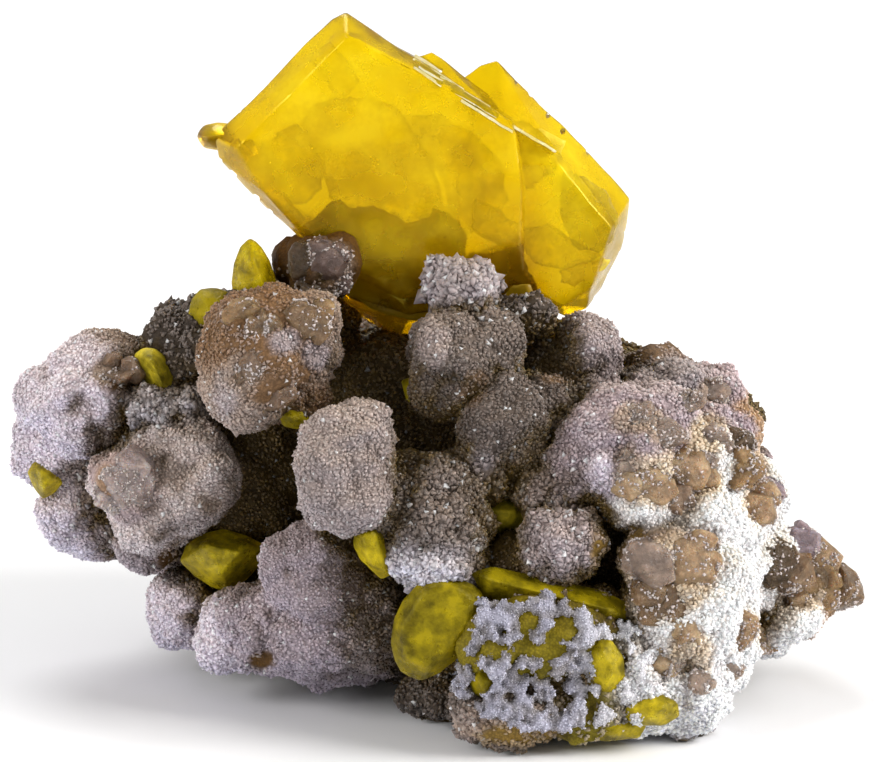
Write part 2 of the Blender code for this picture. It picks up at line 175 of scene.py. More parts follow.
# u, v, y (mm), radii across, up and in (layout units), turn, tint, grain cover, clumpiness
NODULES = [
    (84, 404, 6, 60, 50, 60, -34, "pearl", 1.0, 0.35), (58, 440, 8, 42, 46, 52, 0, "pearl", 1.0, 0.5),
    (84, 500, 9, 44, 50, 52, 14, "pearl", 1.0, 0.5), (118, 376, 9, 40, 40, 46, 0, "beige", 0.9, 0.15),
    (100, 440, 10, 58, 66, 60, 0, "frost", 0.9, 0.6),
    (170, 478, 0, 68, 51, 46, TURN2, "cream", 1.0, 0.25), (160, 500, 2, 44, 40, 40, TURN2, "cream", 1.0, 0.2),
    (127, 482, -4.0, 30, 28, 22, 0, "blush", 0.5, 0.3), (146, 538, 5, 36, 28, 44, 0, "frost", 1.0, 0.4),
    (190, 612, 5, 36, 38, 46, 0, "pearl", 1.0, 0.3), (174, 592, 7, 22, 26, 40, 0, "pearl", 1.0, 0.4),
    (312, 572, -8, 50, 50, 50, 0, "lav", 1.0, 0.12), (298, 622, -6, 70, 54, 56, 0, "lav", 1.0, 0.4),
    (240, 630, -2, 38, 36, 44, 0, "pearl", 1.0, 0.6), (362, 616, -5, 48, 54, 54, 0, "warm", 1.0, 0.5),
    (346, 650, -1, 60, 30, 50, 0, "lav", 1.0, 0.4),
    (347, 465, -14, 42, 62, 42, 6, "warm", 1.0, 0.25), (440, 520, -12, 44, 52, 46, 0, "dusk", 1.0, 0.9),
    (438, 562, -13, 40, 28, 40, 0, "cool", 0.95, 1.0), (405, 500, -10, 40, 40, 42, 0, "grey", 1.0, 0.5),
    (268, 350, -6, 60, 52, 56, 0, "peach", 0.6, 0.3), (250, 386, -7, 40, 42, 46, 0, "beige", 1.0, 0.3),
    (302, 346, -5, 36, 42, 46, 0, "beige", 0.8, 0.4), (288, 396, -5, 40, 28, 42, 0, "peach", 0.6, 0.3),
    (322, 268, 5, 37, 37, 46, 0, "umber", 0.14, 0.15), (292, 268, 8, 24, 22, 36, 0, "umber", 0.02, 0.1),
    (192, 346, 8, 40, 36, 52, 0, "dark", 0.5, 0.7), (212, 322, 8, 28, 20, 40, 0, "grey", 0.8, 0.9),
    (238, 320, 6, 28, 24, 36, 0, "dark", 0.3, 0.6), (250, 314, 4, 24, 24, 34, 0, "dark", 0.2, 0.5),
    (166, 346, 10, 16, 14, 30, 0, "dark", 0.6, 1.0), (170, 408, 2, 44, 18, 32, -10, "cool", 0.85, 1.0),
    (452, 356, -6, 38, 38, 44, 0, "dusk", 1.0, 0.4), (488, 344, -4, 28, 28, 36, 0, "dusk", 1.0, 0.6),
    (448, 384, -6, 30, 24, 40, 0, "dusk", 1.0, 0.3), (463, 290, -1, 30, 26, 32, 0, "ash", 0.9, 1.7),
    (522, 312, 0, 34, 20, 36, 0, "dark", 0.5, 0.9),
    (592, 348, 0, 33, 31, 42, 14, "frost", 1.0, 0.25), (566, 362, 1, 33, 22, 38, 0, "dusk", 1.0, 0.4),
    (505, 427, -7, 38, 48, 46, 0, "grey", 1.0, 0.3), (545, 415, -4, 34, 44, 46, 0, "grey", 1.0, 0.5),
    (576, 402, -3, 22, 28, 32, 0, "grey", 0.8, 0.7),
    (488, 474, -9, 27, 22, 30, 0, "ash", 0.6, 1.3), (560, 490, -9, 42, 24, 34, 0, "frost", 0.9, 1.0),
    (562, 548, -14, 38, 36, 38, 0, "frost", 1.0, 0.8), (522, 562, -11, 28, 28, 32, 0, "brown", 0.2, 0.1),
    (630, 452, -8, 76, 64, 66, 0, "lilac", 0.95, 0.5), (590, 470, -9, 40, 42, 46, 0, "lav", 0.95, 0.6),
    (640, 500, -12, 40, 32, 34, 0, "white", 0.9, 0.4),
    (665, 388, 2, 50, 28, 52, 0, "ash", 1.0, 0.6), (700, 396, 4, 37, 32, 46, 0, "lilac", 1.0, 0.6),
    (650, 362, 8, 34, 12, 40, 0, "brown", 0.25, 0.1), (724, 440, 3, 34, 46, 46, 0, "tan", 0.45, 0.4),
    (744, 498, 2, 38, 48, 50, 0, "white", 0.75, 0.4), (756, 560, 2, 36, 50, 50, 0, "white", 0.6, 0.4),
    (690, 520, -8, 52, 60, 60, 0, "white", 1.0, 0.6), (684, 600, -12, 62, 68, 66, 0, "white", 1.0, 0.6),
    (660, 560, -14, 44, 34, 38, 0, "brown", 0.35, 0.2), (712, 615, -6, 40, 54, 60, 0, "white", 1.0, 0.6),
    (682, 686, -12, 44, 46, 52, 0, "bright", 1.0, 0.7), (636, 686, -14, 54, 46, 52, 0, "bright", 1.0, 0.8),
    (520, 640, -17, 58, 46, 42, 0, "yellow", 0.1, 0.3), (512, 702, -16, 58, 42, 50, 0, "grey", 0.7, 0.9),
    (586, 692, -15, 54, 48, 52, 0, "yellow", 0.3, 0.6), (636, 668, -15.4, 34, 40, 44, 0, "bright", 1.0, 0.8), (446, 694, -8, 40, 28, 46, 0, "dark", 0.6, 0.9),
    (585, 625, -15, 45, 34, 40, 0, "yellow", 0.15, 0.3),
    (798, 602, 5, 42, 34, 40, 0, "tan", 0.35, 0.3), (768, 618, 3, 32, 30, 46, 0, "white", 0.9, 0.5),
    (834, 594, 7, 22, 16, 28, 0, "brown", 0.15, 0.1),
    (712, 524, -3, 42, 60, 54, 0, "white", 1.0, 0.5), (722, 592, -4, 38, 60, 58, 0, "white", 1.0, 0.5), (700, 650, -9, 52, 52, 56, 0, "white", 1.0, 0.6),
    (664, 640, -12, 50, 50, 50, 0, "white", 1.0, 0.6), (700, 470, -6, 46, 44, 56, 0, "white", 1.0, 0.5), (676, 545, -11, 44, 30, 44, 0, "white", 1.0, 0.5),
    (640, 412, -6, 60, 30, 50, 10, "frost", 1.0, 0.5), (764, 594, 4, 32, 28, 44, 0, "white", 0.9, 0.5), (690, 430, 0, 38, 32, 48, 0, "lilac", 1.0, 0.6),
    (360, 428, -13, 25, 22, 26, 10, "warm", 1.0, 0.7), (343, 505, -14, 30, 25, 30, 0, "warm", 1.0, 0.5),
    (788, 622, 0, 28, 17, 32, -14, "white", 1.0, 0.5),
]
CORE = [
    (150, 455, 13, 108, 72, 82, 0), (250, 470, 14, 110, 110, 130, 0),
    (430, 480, 16, 170, 150, 175, 0), (430, 390, 16, 130, 70, 120, 0),
    (640, 520, 14, 120, 130, 170, 0), (700, 430, 14, 60, 60, 90, 0),
    (330, 600, 12, 150, 60, 120, 0), (560, 640, 4, 150, 80, 150, 0), (480, 600, 12, 200, 80, 170, 0),
    (770, 580, 9, 60, 45, 60, 0), (300, 320, 14, 60, 50, 70, 0), (590, 388, 15, 72, 52, 84, 0),
    (560, 356, 12, 50, 40, 70, 0),
]
BACK = [
    (178, 424, 17, 68, 66, 60, 0), (110, 440, 14, 66, 70, 60, 0), (132, 500, 15, 60, 50, 56, 0),
    (256, 406, 24, 72, 74, 60, 0), (236, 506, 23, 78, 84, 62, 0), (330, 372, 27, 68, 72, 58, 0),
    (326, 470, 30, 76, 84, 60, 0), (412, 410, 31, 70, 80, 58, 0), (402, 548, 27, 84, 70, 66, 0),
    (490, 372, 29, 66, 62, 56, 0), (508, 470, 31, 76, 74, 60, 0), (584, 420, 27, 66, 66, 56, 0),
    (596, 530, 26, 76, 70, 60, 0), (666, 452, 22, 60, 62, 56, 0), (680, 545, 20, 64, 64, 58, 0),
    (734, 500, 13, 36, 60, 56, 0), (310, 572, 21, 88, 52, 62, 0), (500, 580, 24, 88, 52, 60, 0),
    (212, 560, 16, 50, 56, 56, 0), (262, 606, 17, 70, 56, 60, 0), (350, 618, 14, 84, 60, 60, 0),
    (426, 642, 7, 70, 58, 60, 0), (236, 356, 13, 52, 46, 60, 0), (190, 380, 13, 52, 44, 60, 0),
    (300, 310, 12, 46, 40, 60, 0), (590, 640, 14, 90, 60, 70, 0), (660, 620, 10, 60, 60, 60, 0),
]
BACK_TINTS = ["lav", "warm", "lav", "grey", "lav", "warm", "beige", "lav", "warm", "lilac", "lav", "grey",
              "lav", "lilac", "frost", "lilac", "lav", "warm", "lav", "grey", "warm", "grey", "warm", "grey",
              "dark", "bright", "bright"]

# spots on the display face: u, v, y, radius across, radius up, tint, cover
PATCHES = [
    (118, 374, 2, 27, 20, "peach", 0.35), (104, 372, 2, 16, 12, "beige", 0.5),
    (120, 474, -7, 28, 20, "blush", 0.3), (106, 478, -7, 12, 16, "fawn", 0.2), (120, 496, -7, 20, 9, "fawn", 0.2), (140, 470, -7, 12, 12, "cream", 1.0), (130, 498, -7, 14, 8, "cream", 0.9),
    (250, 320, -10, 34, 17, "peach", 0.3), (312, 322, -9, 24, 18, "peach", 0.4), (262, 350, -12, 24, 22, "peach", 0.3),
    (238, 340, -11, 14, 22, "peach", 0.4), (276, 394, -12, 30, 14, "peach", 0.25), (300, 372, -12, 14, 10, "peach", 0.4),
    (286, 342, -13, 18, 15, "frost", 1.1), (316, 354, -11, 16, 16, "frost", 1.1),
    (226, 392, -9, 14, 26, "warm", 1.1), (240, 372, -12, 20, 20, "beige", 1.0),
    (334, 268, 0, 20, 26, "beige", 0.8), (340, 285, 0, 10, 8, "brown", 0.5), (322, 280, 0, 14, 10, "brown", 0.3),
    (432, 346, -11, 18, 24, "warm", 1.0), (476, 380, -11, 14, 10, "brown", 0.5),
    (667, 433, -15, 20, 16, "beige", 0.45), (636, 418, -15, 30, 16, "beige", 1.0),
    (628, 470, -15, 16, 26, "beige", 0.6), (660, 498, -17, 24, 14, "tan", 0.4), (590, 446, -15, 20, 34, "lav", 1.0),
    (600, 500, -14, 22, 16, "pearl", 0.9), (572, 500, -12, 20, 14, "pearl", 1.0), (640, 512, -15, 40, 16, "white", 1.1), (600, 470, -14, 16, 20, "pearl", 1.0),
    (634, 535, -16, 14, 12, "amber", 0.2),
    
    (737, 447, -4, 16, 16, "brown", 0.3), (737, 468, -4, 14, 14, "amber", 0.15), (715, 415, -3, 18, 12, "lilac", 1.0),
    (640, 355, 2, 26, 8, "brown", 0.2), (712, 392, -1, 16, 14, "beige", 0.4), (690, 410, -3, 30, 10, "lilac", 1.0),
    (790, 625, -2, 26, 12, "white", 1.1), (738, 426, -3, 22, 15, "lilac", 1.0), (757, 478, -2, 13, 34, "tan", 0.3),
    (605, 555, -15, 14, 34, "amber", 0.15), (610, 580, -15, 14, 16, "yellow", 0.1),
    (470, 395, -9, 14, 12, "brown", 0.5), (560, 375, -3, 22, 10, "brown", 0.5),
    (500, 722, -20, 60, 18, "beige", 0.7), (520, 735, -19, 40, 12, "amber", 0.4),
    (262, 660, -9, 14, 10, "umber", 0.2), (226, 566, 2, 30, 12, "umber", 0.05),
    (172, 560, 2, 20, 14, "umber", 0.25), (210, 505, 0, 20, 14, "beige", 0.9),
    (672, 482, -13, 54, 30, "sand", 0.75), (704, 440, -7, 24, 28, "sand", 0.85), (672, 578, -16, 48, 44, "sand", 0.75), (808, 585, 0, 40, 28, "sand", 0.5),
    (750, 487, -3, 22, 42, "sand", 0.7), (690, 652, -17, 26, 28, "sand", 0.9), (748, 634, -2, 24, 24, "sand", 0.7), (628, 474, -14, 16, 26, "beige", 0.8),
]


def ellipsoids(rows):
    centre = np.array([at(r[0], r[1], r[2]) for r in rows])
    axes = np.array([turned(r[6]) for r in rows])
    radii = np.array([(r[3], r[5], r[4]) for r in rows]) * PITCH
    return centre, axes, radii


N_FRONT, N_CORE = len(NODULES), len(CORE)
ALL_ROWS = [r[:7] for r in NODULES] + CORE + BACK
CENTRE, AXES, RADII = ellipsoids(ALL_ROWS)
# nodules that keep more of the crystal's blocky form under the druse: below 1 is boxier
BOXY = {0: 0.82, 5: 0.5, 6: 0.8, 7: 0.8, 11: 0.95, 14: 0.9, 16: 0.97, 20: 0.86, 22: 0.86, 32: 0.85, 37: 0.82, 39: 0.85, 46: 0.9}


def distances(p):
    """Near-signed distance of each point to each ellipsoid, m."""
    out = np.empty((len(p), len(CENTRE)))
    for i in range(len(CENTRE)):
        q = (p - CENTRE[i]) @ AXES[i]
        k0 = np.sqrt(((q / RADII[i]) ** 2).sum(axis=1))
        k1 = np.sqrt(((q / RADII[i] ** 2) ** 2).sum(axis=1))
        out[:, i] = k0 * (k0 - 1) / np.maximum(k1, 1e-9)
    return out


def coating(p):
    """Tint, grain cover, clumpiness and rock share at surface points."""
    d = distances(p)
    near = d.min(axis=1)
    w = np.exp(-(d - near[:, None]) / 0.0004)
    w /= w.sum(axis=1, keepdims=True)
    tint = np.array([TINTS[r[7]] for r in NODULES] + [tuple(ROCK_AND_SHADE)] * N_CORE + [TINTS[t] for t in BACK_TINTS])
    cover = np.array([r[8] for r in NODULES] + [0.06] * N_CORE + [0.95] * len(BACK))
    clump = np.array([r[9] for r in NODULES] + [0.3] * N_CORE + [0.5] * len(BACK))
    rock = np.array([0.0] * N_FRONT + [1.0] * N_CORE + [0.0] * len(BACK))
    t, c, k, r = w @ tint, w @ cover, w @ clump, w @ rock
    u, v, y = laid(p)
    ragged = 0.55 * (fractal(p, 0.0022, 5) - 0.5)
    for pu, pv, py, ru, rv, name, pc in PATCHES:
        s = np.sqrt(((u - pu) / ru) ** 2 + ((v - pv) / rv) ** 2 + ((y - py) / 9.0) ** 2) + ragged
        m = np.clip((1.12 - s) / 0.35, 0, 1) * (1 - r)
        t = t * (1 - m[:, None]) + np.array(TINTS[name]) * m[:, None]
        c = c * (1 - m) + pc * m
        k = k * (1 - 0.5 * m * (pc < 0.6))
    return t, c, k, r


# ------------------------------------------------------------------ meshes
def object_of(name, mesh):
    obj = bpy.data.objects.new(name, mesh)
    bpy.context.scene.collection.objects.link(obj)
    return obj


def applied(obj):
    """Replaces obj's mesh by its modified mesh."""
    graph = bpy.context.evaluated_depsgraph_get()
    mesh = bpy.data.meshes.new_from_object(obj.evaluated_get(graph), depsgraph=graph)
    obj.modifiers.clear()
    obj.data = mesh
    return mesh


def arrays(mesh):
    mesh.calc_loop_triangles()
    v = np.empty(len(mesh.vertices) * 3, np.float32)
    mesh.vertices.foreach_get("co", v)
    f = np.empty(len(mesh.loop_triangles) * 3, np.int32)
    mesh.loop_triangles.foreach_get("vertices", f)
    return v.reshape(-1, 3).astype(float), f.reshape(-1, 3)


def normals_of(mesh):
    n = np.empty(len(mesh.vertices) * 3, np.float32)
    mesh.vertices.foreach_get("normal", n)
    return n.reshape(-1, 3).astype(float)


def mesh_of(name, v, f, colour=None, smooth=False):
    mesh = bpy.data.meshes.new(name)
    mesh.vertices.add(len(v))
    mesh.vertices.foreach_set("co", np.ascontiguousarray(v, np.float32).ravel())
    mesh.loops.add(f.size)
    mesh.loops.foreach_set("vertex_index", np.ascontiguousarray(f, np.int32).ravel())
    mesh.polygons.add(len(f))
    mesh.polygons.foreach_set("loop_start", np.arange(0, f.size, f.shape[1], dtype=np.int32))
    mesh.polygons.foreach_set("use_smooth", np.full(len(f), smooth))
    mesh.update(calc_edges=True)
    if colour is not None:
        attr = mesh.color_attributes.new(name="Tint", type="FLOAT_COLOR", domain="POINT")
        rgba = np.ones((len(v), 4), np.float32)
        rgba[:, :3] = colour
        attr.data.foreach_set("color", rgba.ravel())
    return mesh


# --------------------------------------------------------------- materials
class Nodes:
    """Short hand for building a node material."""

    def __init__(self, name):
        self.material = bpy.data.materials.new(name)
        self.material.use_nodes = True
        self.tree = self.material.node_tree
        self.shader = self.tree.nodes["Principled BSDF"]
        self.out = self.tree.nodes["Material Output"]

    def add(self, kind, **settings):
        node = self.tree.nodes.new(kind)
        for key, value in settings.items():
            setattr(node, key, value)
        return node

    def link(self, a, b):
        self.tree.links.new(a, b)

    def set(self, **values):
        for key, value in values.items():
            self.shader.inputs[key.replace("_", " ")].default_value = value

    def noise(self, scale, detail=3.0, roughness=0.55, distortion=0.0):
        coords = self.add("ShaderNodeTexCoord")
        node = self.add("ShaderNodeTexNoise")
        node.inputs["Scale"].default_value = scale
        node.inputs["Detail"].default_value = detail
        node.inputs["Roughness"].default_value = roughness
        node.inputs["Distortion"].default_value = distortion
        self.link(coords.outputs["Object"], node.inputs["Vector"])
        return node.outputs["Fac"]

    def voronoi(self, scale, feature="F1"):
        coords = self.add("ShaderNodeTexCoord")
        node = self.add("ShaderNodeTexVoronoi", feature=feature)
        node.inputs["Scale"].default_value = scale
        self.link(coords.outputs["Object"], node.inputs["Vector"])
        return node

    def ramp(self, value, stops):
        node = self.add("ShaderNodeValToRGB")
        elements = node.color_ramp.elements
        while len(elements) < len(stops):
            elements.new(0.5)
        for element, (position, colour) in zip(elements, stops):
            element.position = position
            element.color = (*colour, 1) if len(colour) == 3 else colour
        self.link(value, node.inputs["Fac"])
        return node.outputs["Color"]

    def spread(self, value, low, high, from_low=0.0, from_high=1.0):
        node = self.add("ShaderNodeMapRange")
        node.inputs["From Min"].default_value = from_low
        node.inputs["From Max"].default_value = from_high
        node.inputs["To Min"].default_value = low
        node.inputs["To Max"].default_value = high
        self.link(value, node.inputs["Value"])
        return node.outputs["Result"]

    def mix(self, kind, a, b, factor):
        node = self.add("ShaderNodeMix", data_type="RGBA", blend_type=kind)
        for socket, value in (("A", a), ("B", b)):
            target = [s for s in node.inputs if s.name == socket and s.type == "RGBA"][0]
            if isinstance(value, tuple):
                target.default_value = (*value, 1)
            else:
                self.link(value, target)
        if isinstance(factor, float):
            node.inputs["Factor"].default_value = factor
        else:
            self.link(factor, node.inputs["Factor"])
        return [s for s in node.outputs if s.type == "RGBA"][0]

    def bump(self, height, strength, distance):
        node = self.add("ShaderNodeBump")
        node.inputs["Strength"].default_value = strength
        node.inputs["Distance"].default_value = distance
        self.link(height, node.inputs["Height"])
        self.link(node.outputs["Normal"], self.shader.inputs["Normal"])


def skin_material():
    m = Nodes("druse_skin")
    tint = m.add("ShaderNodeAttribute", attribute_name="Tint").outputs["Color"]
    fine = m.voronoi(3600)
    mottle = m.spread(fine.outputs["Distance"], 1.15, 0.6, 0.0, 0.75)
    patchy = m.spread(m.noise(420, 4.0), 0.82, 1.2)
    both = m.add("ShaderNodeMath", operation="MULTIPLY")
    m.link(mottle, both.inputs[0])
    m.link(patchy, both.inputs[1])
    shade = m.add("ShaderNodeCombineColor")
    for i in range(3):
        m.link(both.outputs[0], shade.inputs[i])
    m.link(m.mix("MULTIPLY", tint, shade.outputs["Color"], 1.0), m.shader.inputs["Base Color"])
    m.link(m.spread(m.noise(900, 2.0), 0.45, 0.75), m.shader.inputs["Roughness"])
    m.bump(fine.outputs["Distance"], 0.6, 0.00012)
    m.set(Specular_IOR_Level=0.15)
    return m.material


def grain_material():
    m = Nodes("druse_grain")
    tint = m.add("ShaderNodeAttribute", attribute_name="Tint").outputs["Color"]
    shade = m.spread(m.noise(2500, 2.0), 0.85, 1.15)
    colour = m.add("ShaderNodeCombineColor")
    for i in range(3):
        m.link(shade, colour.inputs[i])
    m.link(m.mix("MULTIPLY", tint, colour.outputs["Color"], 1.0), m.shader.inputs["Base Color"])
    m.link(m.spread(m.noise(1800, 1.0), 0.25, 0.6), m.shader.inputs["Roughness"])
    m.set(Specular_IOR_Level=0.5, Subsurface_Weight=0.5, Subsurface_Scale=0.0005)
    m.shader.inputs["Subsurface Radius"].default_value = (1.0, 0.85, 0.8)
    return m.material


SKIN = skin_material()
GRAIN = grain_material()


# -------------------------------------------------------------- stone skin
def build_skin():
    bm = bmesh.new()
    for i, (c, a, r) in enumerate(zip(CENTRE, AXES, RADII)):
        placed = Matrix.Translation(Vector(c)) @ Matrix(a.tolist()).to_4x4() @ Matrix.Diagonal((*r, 1))
        ball = bmesh.ops.create_icosphere(bm, subdivisions=4, radius=1)["verts"]
        power = BOXY.get(i, 0.92 if i < N_FRONT else 1.0)
        for p in ball:
            x, y, z = (math.copysign(abs(q) ** power, q) for q in p.co)
            p.co = placed @ Vector((x, y, z))
    mesh = bpy.data.meshes.new("matrix_skin")
    bm.to_mesh(mesh)
    bm.free()
    obj = object_of("matrix_skin", mesh)
    fuse = obj.modifiers.new("fuse", "REMESH")
    fuse.mode = "VOXEL"
    fuse.voxel_size = 0.00056
    relax = obj.modifiers.new("relax", "SMOOTH")
    relax.factor, relax.iterations = 0.5, 5
    mesh = applied(obj)
    v, f = arrays(mesh)
    n = normals_of(mesh)
    t, c, k, r = coating(v)
    # lumps: broad swellings, then clumps like a cauliflower where the druse is coarse
    broad = fractal(v, 0.0062, 3) - 0.5
    facet, _ = cells(v, 0.0048, 17)
    d1, _ = cells(v, 0.0021, 21)
    d2, _ = cells(v, 0.00105, 31)
    lift = 0.0030 * broad + 0.0016 * (0.6 - facet) + (0.0006 + 0.00085 * k) * (0.62 - d1)
    lift += (0.00032 + 0.00040 * k) * (0.6 - d2)
    lift -= 0.0004 * r
    sway = np.stack([fractal(v, 0.007, s) - 0.5 for s in (61, 62, 63)], axis=1) * 0.0020
    v = v + n * lift[:, None] + sway
    v[:, 2] = np.maximum(v[:, 2], 0.0)
    return obj, v, f


def occlusion(v, n, tree, reach=0.014, rays=14):
    """Share of a dome of rays from each point that the stone blocks."""
    rng = np.random.default_rng(3)
    blocked = np.zeros(len(v))
    dirs = rng.normal(size=(rays, 3))
    dirs /= np.linalg.norm(dirs, axis=1, keepdims=True)
    for i in range(len(v)):
        origin, normal = Vector(v[i] + n[i] * 0.0002), n[i]
        hits = 0
        for d in dirs:
            w = d if d @ normal > 0 else -d
            if tree.ray_cast(origin, Vector(w), reach)[0] is not None:
                hits += 1
        blocked[i] = hits / rays
    return blocked


skin, SV, SF = build_skin()
print("skin", len(SV), len(SF), flush=True)
SN = np.cross(SV[SF[:, 1]] - SV[SF[:, 0]], SV[SF[:, 2]] - SV[SF[:, 0]])
VN = np.zeros_like(SV)
for corner in range(3):
    np.add.at(VN, SF[:, corner], SN)
VN /= np.maximum(np.linalg.norm(VN, axis=1, keepdims=True), 1e-12)
TREE = BVHTree.FromPolygons([Vector(p) for p in SV], SF.tolist())
coarse = np.arange(0, len(SV), 3)
some = occlusion(SV[coarse], VN[coarse], TREE)
from mathutils.kdtree import KDTree

kd = KDTree(len(coarse))
for i, p in enumerate(SV[coarse]):
    kd.insert(Vector(p), i)
kd.balance()
OCC = np.array([some[kd.find(Vector(p))[1]] for p in SV])
T, C, K, R = coating(SV)
print("coated", flush=True)

# painted light: faces turned up are painted warmer and faces turned down bluer, as under a warm light from above and a
# cool one from below
T = T * (1 + 0.10 * VN[:, 2:3] * np.array([[0.9, 0.3, -1.0]]))
T = T * (0.72 + 0.56 * fractal(SV, 0.0045, 71))[:, None]
# painted shade: darker and browner in the creases, where the stone hides most of the sky; less so on the palest tints
crease_shade = np.clip((OCC - 0.18) / 0.32, 0, 1) * (1 - 0.45 * np.clip((T.mean(axis=1) - 0.6) / 0.2, 0, 1))
T = T * (1.08 - 0.55 * crease_shade)[:, None] * (1 - crease_shade[:, None] * np.array([[0.0, 0.06, 0.14]]))
# deep in the recesses and along the bottom near the floor the colour goes over to the dark stone colour: part the stone
# itself, part painted shade in the recesses and under the piece
deep = np.clip((OCC - 0.42) / 0.36, 0, 1)
under = np.clip((0.0012 - SV[:, 2]) / 0.0008, 0, 1)
recess_shade_and_rock = np.clip(deep + under, 0, 1)
gap_colour_with_shade = ROCK_AND_SHADE * (0.7 + 0.9 * fractal(SV, 0.003, 9))[:, None]
colour = (T * (0.85 + 0.3 * fractal(SV, 0.0025, 8))[:, None]) * (1 - recess_shade_and_rock[:, None]) + gap_colour_with_shade * recess_shade_and_rock[:, None]
skin.data = mesh_of("matrix_skin", SV, SF, colour, smooth=True)
skin.data.materials.append(SKIN)
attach(skin, "root")
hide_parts("matrix")


# ------------------------------------------------------------ druse grains
def bipyramid(sides):
    """Unit pointed crystal along +Z: vertices and triangles."""
    ring = [(math.cos(2 * math.pi * i / sides), math.sin(2 * math.pi * i / sides), 0.0) for i in range(sides)]
    v = np.array(ring + [(0, 0, 1.0), (0, 0, -0.8)])
    f = [(i, (i + 1) % sides, sides) for i in range(sides)] + [((i + 1) % sides, i, sides + 1) for i in range(sides)]
    return v, np.array(f)


def scatter(points, normals, colours, size, seed, sides):
    """Joined grains standing on the points."""
    rng = np.random.default_rng(seed)
    base_v, base_f = bipyramid(sides)
    n = len(points)
    z = normals + rng.normal(scale=0.5, size=(n, 3))
    z /= np.linalg.norm(z, axis=1, keepdims=True)
    helper = np.where(np.abs(z[:, 2:3]) < 0.9, np.array([[0, 0, 1.0]]), np.array([[1.0, 0, 0]]))
    x = np.cross(helper, z)
    x /= np.linalg.norm(x, axis=1, keepdims=True)
    y = np.cross(z, x)
    spin = rng.uniform(0, 2 * math.pi, n)[:, None]
    x, y = x * np.cos(spin) + y * np.sin(spin), -x * np.sin(spin) + y * np.cos(spin)
    wide = size * rng.uniform(0.72, 1.05, n)
    tall = size * rng.uniform(0.5, 0.95, n)
    v = (
        points[:, None, :]
        + base_v[None, :, 0:1] * (x * wide[:, None])[:, None, :]
        + base_v[None, :, 1:2] * (y * wide[:, None])[:, None, :]
        + base_v[None, :, 2:3] * (z * tall[:, None])[:, None, :]
    )
    f = base_f[None] + (np.arange(n) * len(base_v))[:, None, None]
    # painted light on every grain: the tip painted lighter as a highlight, the ring and the foot darker as shade
    tip = np.array([0.74] * sides + [1.22, 0.5])
    c = np.clip(colours[:, None, :] * tip[None, :, None], 0, 1).reshape(-1, 3)
    v = v.reshape(-1, 3)
    v[:, 2] = np.maximum(v[:, 2], 0.00002)
    return v, f.reshape(-1, 3), c


def grains():
    a, b, c = SV[SF[:, 0]], SV[SF[:, 1]], SV[SF[:, 2]]
    mid = (a + b + c) / 3
    area = np.linalg.norm(np.cross(b - a, c - a), axis=1) / 2
    normal = (VN[SF[:, 0]] + VN[SF[:, 1]] + VN[SF[:, 2]]) / 3
    normal /= np.maximum(np.linalg.norm(normal, axis=1, keepdims=True), 1e-9)
    cover = C[SF].mean(axis=1)
    clump = K[SF].mean(axis=1)
    grain_gap_shade_and_rock = recess_shade_and_rock[SF].mean(axis=1)
    stone = R[SF].mean(axis=1)
    facing = normal @ -AWAY
    _, _, depth = laid(mid)
    front = (facing > -0.3) & (depth < 16)
    per_m2 = np.where(front, 1 / 0.00036**2, 1 / 0.00076**2) / (1 + 0.5 * clump)
    ragged = fractal(mid, 0.0016, 41)
    share = np.clip((cover - 0.35) * 2.2 + (ragged - 0.5) * 1.6 + 0.25, 0, 1.15) * (cover > 0.01)
    share = np.maximum(share, 0.75 * np.clip(stone + grain_gap_shade_and_rock, 0, 1))
    share[(mid[:, 2] < 0.0005) | (OCC[SF].mean(axis=1) > 0.93)] = 0
    wanted = area * per_m2 * share * 1.0
    rng = np.random.default_rng(11)
    count = np.floor(wanted + rng.random(len(wanted))).astype(int)
    index = np.repeat(np.arange(len(SF)), count)
    r1, r2 = rng.random(len(index)), rng.random(len(index))
    flip = r1 + r2 > 1
    r1, r2 = np.where(flip, 1 - r1, r1), np.where(flip, 1 - r2, r2)
    p = a[index] + (b - a)[index] * r1[:, None] + (c - a)[index] * r2[:, None]
    n = normal[index]
    tint = T[SF].mean(axis=1)[index]
    bright = np.clip(rng.normal(1.0, 0.09, len(index)), 0.75, 1.4)
    glint = rng.random(len(index)) < 0.012 + 0.03 * clump[index]
    # on smooth patches the few grains are pale; in the gaps, where the stone shows and where shade falls, they are as
    # dark as the stone: part the stone itself, part painted shade
    bare = np.clip(1 - cover[index] / 0.6, 0, 1) * (1 - np.clip(stone[index], 0, 1))
    pale = np.array((0.38, 0.31, 0.28))
    col = tint * (1 - bare[:, None]) + pale * bare[:, None]
    top = np.clip(ragged[index] * 1.6 - 0.3, 0, 1) * clump[index]
    col = col * (1 + 0.35 * top[:, None])
    col = np.where(glint[:, None], col * 0.4 + 0.5, col)
    gloom = np.clip(grain_gap_shade_and_rock[index] + stone[index], 0, 1)[:, None]
    murk = (ROCK_AND_SHADE * 1.5)[None] * (0.7 + 0.6 * rng.random(len(index)))[:, None]
    murk = np.where((rng.random(len(index)) < 0.02)[:, None], 0.16, murk)
    col = np.clip((col * (1 - gloom) + murk * gloom) * bright[:, None], 0, 1)
    size = np.where(front[index], 0.00029, 0.00053) * (1 + 0.75 * clump[index]) * rng.uniform(0.7, 1.3, len(index))
    keep = p[:, 2] > 0.0004
    return p[keep], n[keep], col[keep], size[keep]


